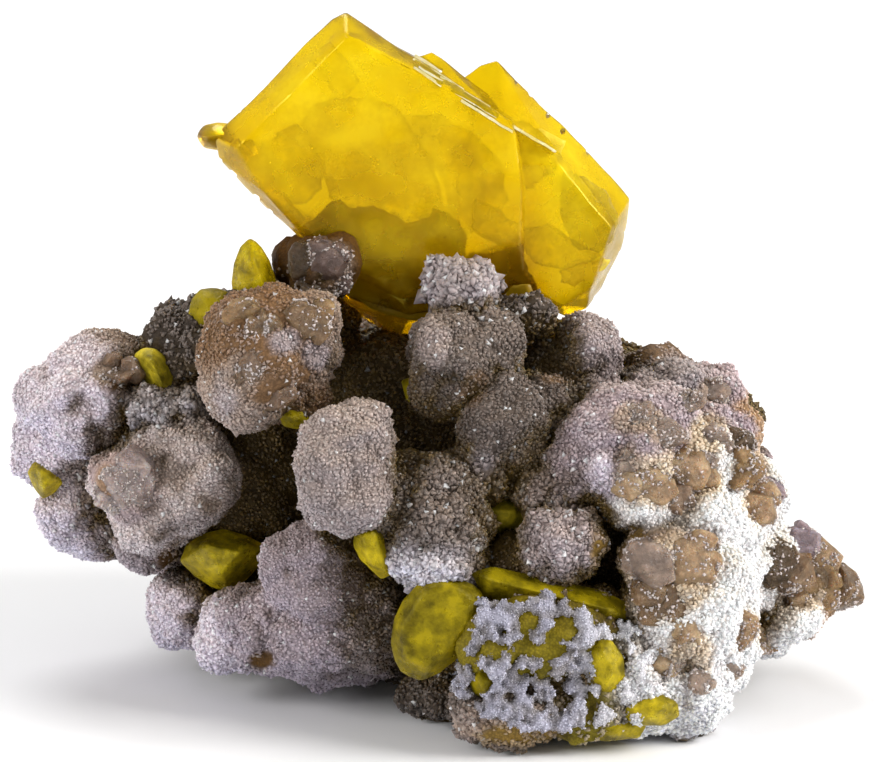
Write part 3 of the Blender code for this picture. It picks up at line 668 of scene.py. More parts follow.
def place_grains():
    p, n, col, size = grains()
    print("grains", len(p), flush=True)
    order = np.lexsort((p[:, 0],))
    groups = np.array_split(order, max(1, math.ceil(len(order) * 6 / 190000)))
    for i, g in enumerate(groups):
        v, f, c = scatter(p[g], n[g], col[g], size[g], 100 + i, 3)
        obj = object_of(f"druse_{i}", mesh_of(f"druse_{i}", v, f, c, smooth=True))
        obj.data.materials.append(GRAIN)
        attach(obj, "root")


place_grains()


# ---------------------------------------------------------------- crystals
def hull_bm(points):
    bm = bmesh.new()
    for p in points:
        bm.verts.new(Vector(p))
    bmesh.ops.convex_hull(bm, input=bm.verts)
    bmesh.ops.delete(bm, geom=[v for v in bm.verts if not v.link_faces], context="VERTS")
    bmesh.ops.dissolve_limit(bm, angle_limit=math.radians(2.0), verts=bm.verts, edges=bm.edges)
    bmesh.ops.recalc_face_normals(bm, faces=bm.faces)
    return bm


def bevel_bm(bm, width, segments=2):
    sharp = [e for e in bm.edges if len(e.link_faces) == 2 and e.calc_face_angle() > math.radians(8)]
    if sharp:
        bmesh.ops.bevel(
            bm, geom=sharp, offset=width, offset_type="OFFSET", segments=segments, profile=0.5,
            affect="EDGES", clamp_overlap=True,
        )
    bmesh.ops.triangulate(bm, faces=bm.faces)
    return bm


def temp(name, bm):
    mesh = bpy.data.meshes.new(name)
    bm.to_mesh(mesh)
    bm.free()
    obj = object_of(name, mesh)
    obj.hide_render = True
    return obj


def joined(name, first, changes):
    """Object `first` with (object, operation) booleans applied, and the helpers removed."""
    for other, operation in changes:
        mod = first.modifiers.new("b", "BOOLEAN")
        mod.operation, mod.solver, mod.object = operation, "EXACT", other
    bpy.context.view_layer.update()
    applied(first)
    for other, _ in changes:
        bpy.data.objects.remove(other)
    first.name = name
    first.data.name = name
    first.hide_render = False
    return first


def finished(obj, material, slot, *nodes):
    obj.data.materials.clear()
    obj.data.materials.append(material)
    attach(obj, "root")
    if nodes:
        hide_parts(*nodes)
    return obj


MAIN_FRONT = [
    (347, 36, 3.2), (236, 150, 3.0), (262, 190, 3.0), (300, 226, 2.9), (350, 258, 2.8), (460, 258, 2.9), (518, 236, 3.2),
    (521, 190, 3.3), (512, 122, 3.8), (410, 64, 4.0),
    (346, 13, 7.0), (331, 20, 7.0), (214, 136, 6.5), (219, 160, 6.5), (264, 205, 6.5), (294, 231, 6.5), (340, 262, 6.5),
    (412, 57, 8.0), (514, 118, 8.5), (532, 190, 8.5), (530, 240, 8.0),
    (352, 26, 19.0), (252, 130, 18.0), (290, 200, 17.0), (420, 258, 17.0), (530, 230, 18.5), (505, 122, 19.5),
    (332, 268, 4.0), (400, 300, 4.0), (470, 300, 4.2), (524, 274, 4.4),
]
MAIN_STEP = [
    (405, 60, 6.6), (431, 53, 8.5), (440, 58, 8.5), (463, 78, 9.0), (512, 112, 9.0), (508, 124, 6.0), (405, 76, 6.0),
    (431, 56, 17.0), (463, 82, 18.0), (512, 116, 18.0), (405, 76, 17.0),
]
MAIN_RIGHT = [
    (506, 122, 6.4), (562, 168, 5.0), (611, 228, 5.0), (592, 285, 5.2), (562, 306, 4.8), (535, 286, 4.5), (455, 262, 4.6), (490, 160, 4.6),
    (462, 78, 10.5), (480, 66, 11.0), (497, 61, 11.0), (508, 76, 11.0), (531, 96, 11.0), (565, 139, 10.5), (600, 164, 10.0), (630, 199, 10.0),
    (628, 222, 10.2), (621, 250, 10.5), (601, 289, 10.5), (587, 309, 10.0), (566, 317, 9.5),
    (470, 90, 22.0), (496, 74, 22.0), (560, 150, 22.5), (610, 205, 21.0), (590, 280, 20.0), (540, 300, 19.0), (450, 250, 18.0),
]
MAIN_ROOT = [
    (300, 226, 4.2), (345, 246, 3.6), (460, 246, 3.8), (520, 238, 4.2), (542, 290, 5.0), (470, 306, 4.6),
    (410, 314, 4.6), (350, 296, 4.8), (318, 255, 5.2),
    (310, 200, 16.0), (520, 200, 17.0), (540, 290, 17.0), (470, 332, 16.0), (400, 338, 15.0), (345, 310, 14.0),
]
MAIN_KNOB = [
    (196, 136, 8.5), (202, 124, 8.5), (221, 120, 8.0), (240, 126, 9.0), (240, 150, 9.0), (220, 152, 8.0), (203, 149, 8.5),
    (205, 136, 5.8), (222, 135, 5.4), (238, 136, 6.0), (208, 136, 11.6), (238, 136, 12.6),
]


def refine(bm, length):
    """Splits long edges until the faces are about `length` across."""
    for _ in range(7):
        bmesh.ops.triangulate(bm, faces=[f for f in bm.faces if len(f.verts) > 3])
        far = [e for e in bm.edges if e.calc_length() > length]
        if not far:
            break
        bmesh.ops.subdivide_edges(bm, edges=far, cuts=1)
    bmesh.ops.triangulate(bm, faces=[f for f in bm.faces if len(f.verts) > 3])


def waver(obj, length, moves, seed, sharp=28):
    """Uneven growth: splits the faces and sways the surface by each (wavelength, amount)."""
    bm = bmesh.new()
    bm.from_mesh(obj.data)
    refine(bm, length)
    p = np.array([v.co[:] for v in bm.verts])
    total = np.zeros_like(p)
    for k, (size, amount) in enumerate(moves):
        for axis in range(3):
            total[:, axis] += (fractal(p, size, seed + 10 * k + axis, 2) - 0.5) * 2 * amount
    for v, d in zip(bm.verts, total):
        v.co += Vector(d)
    bm.to_mesh(obj.data)
    bm.free()
    obj.data.polygons.foreach_set("use_smooth", [True] * len(obj.data.polygons))
    obj.data.set_sharp_from_angle(angle=math.radians(sharp))
    return obj


def clear_sulfur(name, absorb, density, ior, rough, bump, base, milk):
    """See-through sulfur: transmission, IOR and absorption, with cloudy zones."""
    m = Nodes(name)
    cloud = m.noise(95, 5.0, 0.62)
    body = m.ramp(cloud, [(0.32, tuple(c * 0.84 for c in base)), (0.52, base), (0.7, (min(1, base[0] * 1.06), min(1, base[1] * 1.14), base[2] * 4))])
    # painted shade and light: darker and browner towards the foot, where the dark stone behind shows through, and
    # lighter towards the top and across the right block
    place = m.add("ShaderNodeSeparateXYZ")
    m.link(m.add("ShaderNodeTexCoord").outputs["Object"], place.inputs[0])
    height = m.spread(place.outputs["Z"], 0.0, 1.0, 0.040, 0.075)
    uneven = m.add("ShaderNodeMath", operation="MULTIPLY_ADD", use_clamp=True)
    m.link(m.spread(m.noise(170, 4.0, 0.6), -0.16, 0.16, 0.3, 0.7), uneven.inputs[0])
    uneven.inputs[1].default_value = 1.0
    lifted = m.add("ShaderNodeMath", operation="ADD")
    m.link(height, lifted.inputs[0])
    m.link(m.spread(place.outputs["X"], 0.0, 0.45, 0.0095, 0.0125), lifted.inputs[1])
    m.link(lifted.outputs[0], uneven.inputs[2])
    shade = m.ramp(uneven.outputs[0], [(0.0, (0.28, 0.20, 0.06)), (0.08, (0.66, 0.53, 0.3)), (0.24, (0.86, 0.78, 0.6)), (0.58, (0.97, 0.95, 0.85)), (1.0, (1.06, 1.14, 1.3))])
    m.link(m.mix("MULTIPLY", body, shade, 1.0), m.shader.inputs["Base Color"])
    m.set(Specular_IOR_Level=0.32)
    m.set(IOR=ior)
    m.shader.inputs["Specular Tint"].default_value = (1.0, 0.82, 0.12, 1)
    m.link(m.spread(cloud, milk[1], milk[0], 0.38, 0.66), m.shader.inputs["Transmission Weight"])
    m.link(m.spread(m.noise(240, 4.0), rough[0], rough[1], 0.35, 0.65), m.shader.inputs["Roughness"])
    m.bump(m.noise(620, 5.0, 0.6), bump, 0.0002)
    volume = m.add("ShaderNodeVolumeAbsorption")
    volume.inputs["Color"].default_value = (*absorb, 1)
    volume.inputs["Density"].default_value = density
    m.link(volume.outputs["Volume"], m.out.inputs["Volume"])
    return m.material


def veil_material(name, base, alpha, edge_alpha=0.5, rough=0.35):
    """A thin sheet in the crystal: the pale ones are healed cracks that let most of the light by; the dark, nearly
    opaque ones are painted shade.
    """
    m = Nodes(name)
    haze = m.noise(260, 5.0, 0.65)
    m.link(m.ramp(haze, [(0.3, tuple(c * 0.75 for c in base)), (0.65, base)]), m.shader.inputs["Base Color"])
    m.set(Roughness=rough, IOR=1.5)
    m.set(Specular_IOR_Level=0.2)
    edge = m.add("ShaderNodeAttribute", attribute_name="Rim").outputs["Fac"]
    body = m.spread(haze, alpha[0], alpha[1], 0.35, 0.65)
    rim = m.add("ShaderNodeMath", operation="MULTIPLY_ADD", use_clamp=True)
    m.link(edge, rim.inputs[0])
    rim.inputs[1].default_value = edge_alpha
    m.link(body, rim.inputs[2])
    m.link(rim.outputs[0], m.shader.inputs["Alpha"])
    return m.material


def main_crystal():
    def block(points, width):
        return temp("block", bevel_bm(hull_bm(at(*np.array(points).T)), width, 2))

    first = block(MAIN_FRONT, 0.00022)
    changes = [(block(MAIN_STEP, 0.00008), "UNION"), (block(MAIN_RIGHT, 0.0002), "UNION"),
               (block(MAIN_ROOT, 0.0002), "UNION"), (block(MAIN_KNOB, 0.0004), "UNION")]
    # bites out of the ragged edges: u, v, y, radius
    rng = np.random.default_rng(5)
    bites = [(516, 80, 11, 3), (531, 93, 11, 3.5), (547, 114, 11, 3), (561, 130, 11, 3.5),
             (218, 163, 6.5, 5), (232, 175, 6.5, 6), (245, 190, 6.5, 4), (256, 199, 6.5, 6), (270, 212, 6.5, 5), (281, 222, 6.5, 6), (292, 232, 6.5, 4),
             (306, 40, 7, 2.5), (285, 59, 7, 3), (262, 84, 7, 3), (240, 108, 7, 3),
             (627, 232, 10, 4), (622, 256, 10, 5), (610, 278, 10, 4), (598, 298, 10, 6), (606, 170, 10, 3), (588, 152, 10, 3)]
    for u, v, y, r in bites:
        bm = bmesh.new()
        c = at(u, v, y + rng.uniform(-1, 1))
        bmesh.ops.create_icosphere(bm, subdivisions=1, radius=r * PITCH, matrix=Matrix.Translation(Vector(c)) @ Matrix.Diagonal((1, 6.0, 1, 1)))
        changes.append((temp("bite", bm), "DIFFERENCE"))
    return joined("main_crystal", first, changes)


SULFUR_MAIN = clear_sulfur("sulfur_clear", (0.94, 0.88, 0.01), 120.0, 1.6, (0.10, 0.32), 0.22, (0.90, 0.63, 0.003), (0.60, 0.90))
main = waver(main_crystal(), 0.0014, ((0.005, 0.00022), (0.0016, 0.00009)), 501)
finished(main, SULFUR_MAIN, "sulfur_large", "sulfur_main")
print("main", len(main.data.polygons), flush=True)

# cracks and healed plates inside the large crystal, and dark sheets of painted shade at its foot (foot, foot_low,
# foot_deep, inner):
# outline (u, v), depth at its centre (mm), slope of the depth across and down (mm per unit), look
VEILS = {
    "arch": ([(300, 120), (312, 104), (330, 96), (350, 95), (376, 99), (400, 110), (412, 128), (428, 156), (440, 182), (446, 212),
              (430, 217), (414, 222), (405, 219), (392, 212), (375, 208), (360, 210), (345, 204), (330, 196), (322, 170), (318, 150)], 6.4, 0.006, 0.012, "pale"),
    "corner": ([(309, 60), (318, 52), (336, 46), (352, 62), (360, 78), (356, 84), (340, 99), (330, 88), (325, 78)], 5.6, 0.004, -0.006, "faint"),
    "left": ([(300, 120), (310, 134), (318, 150), (326, 162), (322, 186), (306, 200), (282, 196), (262, 176), (252, 156), (268, 138), (284, 126)], 7.2, -0.01, 0.008, "deep"),
    "foot": ([(300, 226), (318, 214), (332, 200), (340, 198), (350, 207), (362, 206), (376, 207), (390, 213), (405, 222), (418, 220), (430, 216),
              (432, 208), (445, 211), (456, 219), (463, 228), (467, 238), (466, 252), (462, 268), (440, 290), (400, 296), (350, 280), (316, 250)], 4.3, 0.0, 0.016, "amber"),
    "foot_low": ([(318, 250), (346, 246), (362, 250), (380, 266), (392, 260), (410, 254), (430, 256), (450, 262), (464, 272), (500, 262), (520, 256),
                  (532, 275), (538, 292), (500, 306), (430, 316), (360, 300)], 6.4, 0.0, -0.004, "olive"),
    "foot_deep": ([(330, 262), (356, 262), (376, 276), (400, 270), (430, 270), (456, 280), (490, 282), (530, 284), (536, 296), (500, 306), (430, 322), (370, 308), (340, 290)],
                  4.9, 0.0, 0.0, "olive"),
    "inner": ([(455, 258), (480, 250), (500, 247), (518, 241), (521, 256), (528, 268), (534, 280), (537, 292), (505, 290), (475, 280)], 5.2, 0.0, 0.0, "amber"),
    "flake": ([(510, 120), (515, 140), (518, 152), (525, 190), (534, 184), (545, 175), (556, 168), (562, 160), (566, 141), (548, 132), (530, 124)], 6.9, -0.008, -0.008, "light"),
    "satin": ([(562, 172), (584, 176), (606, 190), (618, 214), (613, 240), (598, 252), (572, 244), (560, 214)], 6.0, 0.0, 0.0, "satin"),
    "right_low": ([(474, 196), (500, 206), (520, 226), (548, 222), (576, 240), (600, 252), (588, 262), (560, 268), (534, 262), (516, 244), (490, 238), (470, 226)], 6.6, 0.0, 0.0, "pale"),
    "ridge": ([(558, 270), (580, 262), (602, 256), (610, 262), (596, 276), (574, 286), (560, 282)], 6.2, 0.0, 0.0, "light"),
    "centre": ([(400, 112), (416, 140), (444, 180), (450, 214), (466, 232), (492, 214), (508, 196), (500, 160), (474, 132), (440, 112)], 8.0, 0.006, 0.01, "deep"),
    "rim": ([(224, 152), (250, 178), (276, 204), (300, 224), (306, 216), (288, 196), (262, 166), (244, 142)], 5.4, 0.0, 0.0, "light"),
}


def veils():
    looks = {
        "pale": veil_material("veil_pale", (1.0, 0.84, 0.08), (0.02, 0.55), 0.3),
        "faint": veil_material("veil_faint", (1.0, 0.88, 0.10), (0.0, 0.22), 0.12),
        "satin": veil_material("veil_satin", (0.52, 0.38, 0.02), (0.22, 0.55), 0.0),
        "light": veil_material("veil_light", (0.95, 0.74, 0.06), (0.1, 0.55), 0.3),
        "deep": veil_material("veil_deep", (0.62, 0.40, 0.006), (0.0, 0.34), 0.14),
        # dark, nearly opaque sheets at the foot: painted shade
        "amber": veil_material("veil_amber_shade", (0.36, 0.20, 0.003), (0.7, 1.0)),
        "olive": veil_material("veil_olive_shade", (0.30, 0.18, 0.004), (0.6, 0.95)),
    }
    for i, (name, (outline, depth, across, down, look)) in enumerate(VEILS.items()):
        bm = bmesh.new()
        ring = np.array(outline, float)
        centre = ring.mean(axis=0)
        rng = np.random.default_rng(90 + i)
        dense = []
        for a, b in zip(ring, np.roll(ring, -1, axis=0)):
            dense += [a] + [a + (b - a) * t + rng.normal(scale=1.25, size=2) for t in (0.35, 0.68)]
        ring = np.array(dense)
        flat = [bm.verts.new((p[0] * PITCH, p[1] * PITCH, 0)) for p in ring]
        bm.faces.new(flat)
        bmesh.ops.triangulate(bm, faces=bm.faces)
        refine(bm, 0.0009)
        uv = np.array([v.co[:2] for v in bm.verts]) / PITCH
        f = np.array([[v.index for v in face.verts] for face in bm.faces])
        bm.verts.index_update()
        f = np.array([[v.index for v in face.verts] for face in bm.faces])
        bm.free()
        edge = {}
        for a, b, c in f:
            for e in ((a, b), (b, c), (c, a)):
                edge[e] = 1
        border = [e for e in edge if (e[1], e[0]) not in edge]
        flatp = np.column_stack([uv * PITCH, np.zeros(len(uv))])
        wave = (fractal(flatp, 0.006, 600 + i) - 0.5) * 1.6 + (fractal(flatp, 0.0018, 640 + i) - 0.5) * 0.35
        y = depth + (uv[:, 0] - centre[0]) * across + (uv[:, 1] - centre[1]) * down + wave
        front = at(uv[:, 0], uv[:, 1], y)
        back = at(uv[:, 0], uv[:, 1], y + 0.06)
        n = len(front)
        sides = [(a, b + n, b) for a, b in border] + [(a, a + n, b + n) for a, b in border]
        faces = np.vstack([f, f[:, ::-1] + n, np.array(sides)])
        data = mesh_of("veil_" + name, np.vstack([front, back]), faces, smooth=True)
        outer = uv[sorted({a for e in border for a in e})]
        gap = np.sqrt(((uv[:, None, :] - outer[None]) ** 2).sum(axis=2)).min(axis=1)
        rim = data.attributes.new("Rim", "FLOAT", "POINT")
        rim.data.foreach_set("value", np.tile(np.clip(1 - gap / 3.5, 0, 1), 2).astype(np.float32))
        obj = object_of("veil_" + name, data)
        bm = bmesh.new()
        bm.from_mesh(obj.data)
        bmesh.ops.recalc_face_normals(bm, faces=bm.faces)
        bm.to_mesh(obj.data)
        bm.free()
        finished(obj, looks[look], "sulfur_large")


veils()


def edge_plates():
    """Thin plates seen on edge along the step, paler than the rest: partly their thinness, partly a painted highlight.
    """
    m = Nodes("sulfur_edge")
    tone = m.ramp(m.noise(800, 4.0, 0.6), [(0.3, (0.80, 0.66, 0.12)), (0.55, (0.95, 0.90, 0.55)), (0.7, (0.97, 0.95, 0.86))])
    m.link(tone, m.shader.inputs["Base Color"])
    m.set(Transmission_Weight=0.45, IOR=1.6)
    m.link(m.spread(m.noise(900, 3.0), 0.18, 0.45), m.shader.inputs["Roughness"])
    along = np.array([100.0, 61.0]) / math.hypot(100, 61)
    across = np.array([-along[1], along[0]])
    rng = np.random.default_rng(8)
    start = np.array([411.0, 59.0])
    rows = [(2, 60, -1.0, 5.2, 1.3), (12, 62, 3.0, 4.0, 1.3), (34, 92, 0.6, 4.6, 1.3), (50, 104, 5.4, 3.6, 1.3), (66, 124, 9.4, 3.2, 1.3), (6, 40, 6.4, 3.4, 1.3),
            (120, 172, 4.0, 4.4, 1.3), (2, 34, -3.0, 6.4, 3.4)]
    for i, (s0, s1, off, y0, half) in enumerate(rows):
        pts = []
        for s, cut in ((s0, 1.0), (s1, -1.0)):
            for side in (-half, half):
                for y in (y0, y0 + 1.7):
                    q = start + along * (s + rng.uniform(-1.5, 1.5)) + across * (off + side)
                    pts.append((q[0], q[1], y + (0.4 if side < 0 else 0)))
        obj = temp(f"edge_plate_{i}", bevel_bm(hull_bm(at(*np.array(pts).T)), 0.00006, 2))
        obj.hide_render = False
        waver(obj, 0.0007, ((0.0022, 0.00012), (0.0008, 0.00007)), 700 + i)
        finished(obj, m.material, "sulfur_large")


edge_plates()


# outline points (u, v), then front points (u, v, y), for each small sulfur crystal;
# the outline lies at depth `mid` and the back at depth `back`
SMALL_SULFUR = {
    "sulfur_blade_upper_left": (4.0, 7.0, [(248, 238), (254, 239), (262, 247), (270, 260), (276, 277), (279, 292), (275, 308), (262, 322),
        (240, 322), (233, 300), (231, 282), (233, 264), (240, 246)], [(252, 256, 2.0), (262, 282, 1.4), (252, 304, 1.8), (243, 286, 2.0)]),
    "sulfur_stub_upper_left": (4.6, 8.0, [(188, 314), (191, 299), (200, 289), (214, 287), (228, 291), (237, 305), (233, 324), (210, 334), (191, 328)],
        [(203, 298, 2.8), (221, 300, 2.8), (212, 318, 2.2)]),
    "sulfur_left_saddle": (3.4, 7.0, [(134, 354), (143, 347), (155, 348), (167, 357), (176, 370), (179, 387), (169, 399), (155, 398), (146, 384), (137, 370)],
        [(150, 359, 0.6), (161, 370, 1.2), (163, 386, 0.4)]),
    "sulfur_left_edge": (4.2, 7.4, [(27, 472), (34, 461), (48, 460), (60, 469), (64, 482), (54, 494), (43, 500), (33, 488)],
        [(40, 470, 2.2), (52, 476, 2.0), (44, 488, 2.2)]),
    "sulfur_lower_left": (0.8, 4.0, [(179, 562), (185, 545), (200, 534), (223, 528), (246, 535), (270, 547), (263, 563), (248, 579), (231, 593), (212, 588), (194, 576)],
        [(240, 553, -3.4), (206, 546, -2.6), (222, 574, -2.6), (252, 547, -2.2)]),
    "sulfur_center_prism": (-13.0, -9.0, [(354, 532), (372, 523), (387, 536), (394, 574), (381, 580), (360, 560), (353, 545)],
        [(362, 534, -15.4), (374, 532, -15.4), (387, 571, -15.2), (370, 565, -15.6)]),
    "sulfur_center_pocket": (-8.0, -4.0, [(476, 516), (483, 503), (500, 498), (518, 502), (527, 516), (521, 529), (505, 535), (487, 531)],
        [(491, 510, -10.2), (513, 511, -10.2), (503, 524, -10.0)]),
    "sulfur_front_disc": (-16.2, -12.5, [(414, 586), (430, 578), (450, 576), (470, 581), (483, 592), (487, 606), (482, 624), (471, 644),
        (456, 661), (439, 674), (421, 682), (403, 676), (393, 660), (389, 640), (393, 618), (402, 600)],
        [(424, 592, -18.2), (450, 586, -18.2), (472, 597, -18.2), (470, 622, -18.7), (454, 646, -18.9), (428, 668, -18.8), (406, 656, -18.6), (402, 628, -18.4)]),
    "sulfur_gap_center": (-2.2, 0.0, [(401, 380), (413, 376), (425, 382), (429, 394), (420, 404), (406, 402)], [(412, 386, -4.2), (419, 394, -4.0)]),
    "sulfur_gap_left": (-8.0, -5.0, [(278, 412), (290, 405), (306, 408), (310, 420), (298, 430), (282, 426)], [(290, 415, -10.4), (299, 420, -10.2)]),
    "sulfur_gap_right": (-1.6, 1.0, [(588, 376), (600, 368), (614, 372), (616, 382), (604, 388), (592, 386)], [(600, 376, -3.6), (606, 380, -3.4)]),
    "sulfur_front_band": (-15.5, -12.0, [(470, 572), (492, 566), (520, 572), (548, 582), (575, 588), (604, 590), (630, 604), (634, 624), (600, 634),
        (560, 622), (520, 610), (482, 596)], [(492, 580, -17.6), (530, 590, -18.2), (572, 600, -18.6), (610, 610, -18.4)]),
    "sulfur_lace_window": (-20.2, -17.0, [(468, 680), (475, 669), (487, 668), (497, 678), (496, 692), (484, 699), (472, 694)],
        [(478, 676, -22.0), (489, 680, -22.0), (483, 690, -22.2)]),
    "sulfur_lace_right": (-19.6, -16.0, [(588, 652), (598, 638), (612, 640), (624, 656), (626, 682), (616, 702), (600, 700), (588, 680)],
        [(602, 654, -21.2), (612, 668, -21.4), (606, 688, -21.2)]),
    "sulfur_foot_right": (-19.6, -15.0, [(624, 708), (640, 698), (662, 694), (678, 702), (680, 716), (664, 726), (640, 726), (626, 720)],
        [(640, 708, -20.8), (662, 708, -21.2), (652, 718, -20.8)]),
    "sulfur_foot_edge": (-18.6, -15.0, [(580, 726), (596, 716), (620, 716), (648, 724), (640, 738), (606, 742), (584, 738)],
        [(600, 724, -20.2), (622, 726, -20.2), (612, 734, -20.0)]),
}
CALCITE = {
    "calcite_left_boss": [(117, 374, 2.4, 25, 19, 22, 10, "peach")],
    "calcite_shoulder": [(645, 487, -14.4, 24, 23, 20, 15, "tan"), (686, 474, -12.6, 27, 20, 22, -24, "tan"), (667, 434, -13.2, 20, 14, 16, 10, "beige"),
                         (670, 499, -14.0, 24, 12, 15, -12, "peach"), (706, 468, -11.4, 14, 15, 16, 30, "beige")],
    "calcite_face_left": [(652, 562, -16.6, 27, 22, 18, 20, "beige"), (690, 560, -16.6, 24, 26, 18, -15, "tan"), (702, 546, -15.8, 13, 12, 14, 0, "brown"), (661, 603, -18.0, 24, 23, 16, 10, "brown")],
    "calcite_right_upper": [(753, 506, -4.6, 22, 22, 22, 10, "tan"), (771, 489, -1.2, 12, 16, 18, -20, "lilac"), (735, 467, -6.4, 21, 20, 22, 20, "ochre"), (738, 446, -5.0, 17, 15, 18, -20, "umber")],
    "calcite_right_ridge": [(712, 392, -1.2, 17, 13, 18, 25, "beige"), (688, 404, -3.4, 18, 9, 14, 10, "beige")],
    "calcite_far_right": [(812, 584, 1.0, 27, 25, 24, 10, "ochre"), (836, 590, 4.0, 25, 23, 22, -25, "brown"), (801, 541, 1.0, 19, 16, 18, 10, "lilac"), (822, 558, 3.0, 20, 16, 18, 30, "tan"),
                          (794, 574, 0.6, 23, 22, 20, -10, "brown"), (776, 562, 0.2, 19, 22, 17, 30, "umber"), (798, 603, 0.2, 12, 11, 13, 0, "tan")],
    "calcite_face_low": [(687, 633, -18.6, 12, 14, 12, 20, "tan"), (700, 684, -17.6, 11, 12, 12, 0, "beige")],
    "calcite_face_pair": [(664, 660, -19.2, 19, 14, 13, -20, "tan")],
    "calcite_side_low": [(741, 632, -3.6, 15, 19, 16, 30, "tan"), (762, 642, -1.0, 16, 13, 14, 0, "tan")],
}


def rounded(bm, seed, rough=0.00005):
    """A little unevenness, so that no crystal face is dead flat."""
    bmesh.ops.subdivide_edges(bm, edges=[e for e in bm.edges if e.calc_length() > 0.0006], cuts=1, use_grid_fill=True)
    p = np.array([v.co[:] for v in bm.verts])
    move = np.stack([fractal(p, 0.0016, seed + i) - 0.5 for i in range(3)], axis=1) * 2 * rough
    for v, d in zip(bm.verts, move):
        v.co += Vector(d)
    return bm


def olive_sulfur(name, absorb, density, rough, transmission, base):
    m = Nodes(name)
    tone = m.ramp(m.noise(380, 5.0, 0.65), [(0.36, tuple(c * 0.35 for c in base)), (0.5, base), (0.62, tuple(min(1, c * 1.7) for c in base))])
    m.link(tone, m.shader.inputs["Base Color"])
    m.set(Transmission_Weight=transmission, IOR=1.5, Specular_IOR_Level=0.3)
    m.shader.inputs["Specular Tint"].default_value = (1.0, 0.88, 0.25, 1)
    m.link(m.spread(m.noise(700, 3.0), rough[0], rough[1], 0.3, 0.7), m.shader.inputs["Roughness"])
    m.bump(m.noise(900, 5.0, 0.7), 0.8, 0.0003)
    volume = m.add("ShaderNodeVolumeAbsorption")
    volume.inputs["Color"].default_value = (*absorb, 1)
    volume.inputs["Density"].default_value = density
    m.link(volume.outputs["Volume"], m.out.inputs["Volume"])
    return m.material


def calcite_material(name, base):
    m = Nodes(name)
    tone = m.ramp(m.noise(620, 8.0, 0.72), [(0.34, tuple(c * 0.45 for c in base)), (0.46, tuple(c * 0.85 for c in base)), (0.55, tuple(min(1, c * 1.15 + 0.01) for c in base)), (0.66, tuple(min(1, c * 1.5 + 0.12) for c in base))])
    grit = m.voronoi(1900)
    both = m.mix("MULTIPLY", tone, m.ramp(grit.outputs["Distance"], [(0.1, (1.1, 1.08, 1.06)), (0.7, (0.80, 0.76, 0.72))]), 0.7)
    m.link(both, m.shader.inputs["Base Color"])
    m.set(Transmission_Weight=0.45, IOR=1.5, Subsurface_Weight=0.6, Subsurface_Scale=0.0024, Specular_IOR_Level=0.5)
    m.shader.inputs["Subsurface Radius"].default_value = (1.0, 0.7, 0.45)
    m.link(m.spread(m.noise(800, 3.0), 0.15, 0.45), m.shader.inputs["Roughness"])
    m.bump(m.noise(1500, 6.0, 0.7), 0.9, 0.0004)
    return m.material


# more of the same, growing on the nodules
EXTRA_CALCITE = {
    "calcite_disc": [(127, 482, -7, 29, 26, 20, 10, "blush"), (116, 496, -7, 16, 12, 14, 30, "blush")],
    "calcite_upper": [(306, 322, -9, 22, 17, 20, 20, "brown"), (322, 312, -8, 14, 13, 16, -10, "ochre"), (240, 316, -9, 19, 15, 18, -20, "ochre"),
                      (262, 330, -10, 16, 15, 16, 10, "brown"), (274, 396, -11, 22, 12, 16, 0, "peach"), (252, 366, -11, 15, 17, 14, 30, "peach")],
    "calcite_dome": [(330, 262, 0, 17, 20, 18, 15, "rose"), (338, 284, 0, 12, 12, 14, 0, "rose"), (306, 262, 1, 16, 20, 16, 0, "umber"), (320, 290, 0, 16, 12, 14, 0, "umber")],
    "calcite_white": [(628, 470, -15, 14, 20, 14, 10, "beige"), (640, 420, -15, 18, 12, 14, 20, "beige"), (716, 440, -6, 15, 12, 14, 0, "beige"),
                      (728, 668, -6, 12, 13, 12, 0, "beige"), (668, 662, -18, 14, 11, 12, 20, "beige")],
}


def seated(u, v, y, rd):
    """Depth that half sinks a crystal of this half-thickness in the surface seen at u, v."""
    near = at(u, v, -60.0)
    way = near - (MIDDLE - AWAY * REACH)
    hit = TREE.ray_cast(Vector(near), Vector(way / np.linalg.norm(way)))[0]
    if hit is None:
        return y
    found = float(laid(np.array([hit[:]]))[2][0])
    return found + 0.38 * rd * PITCH * 1000 if abs(found - y) < 9 else y


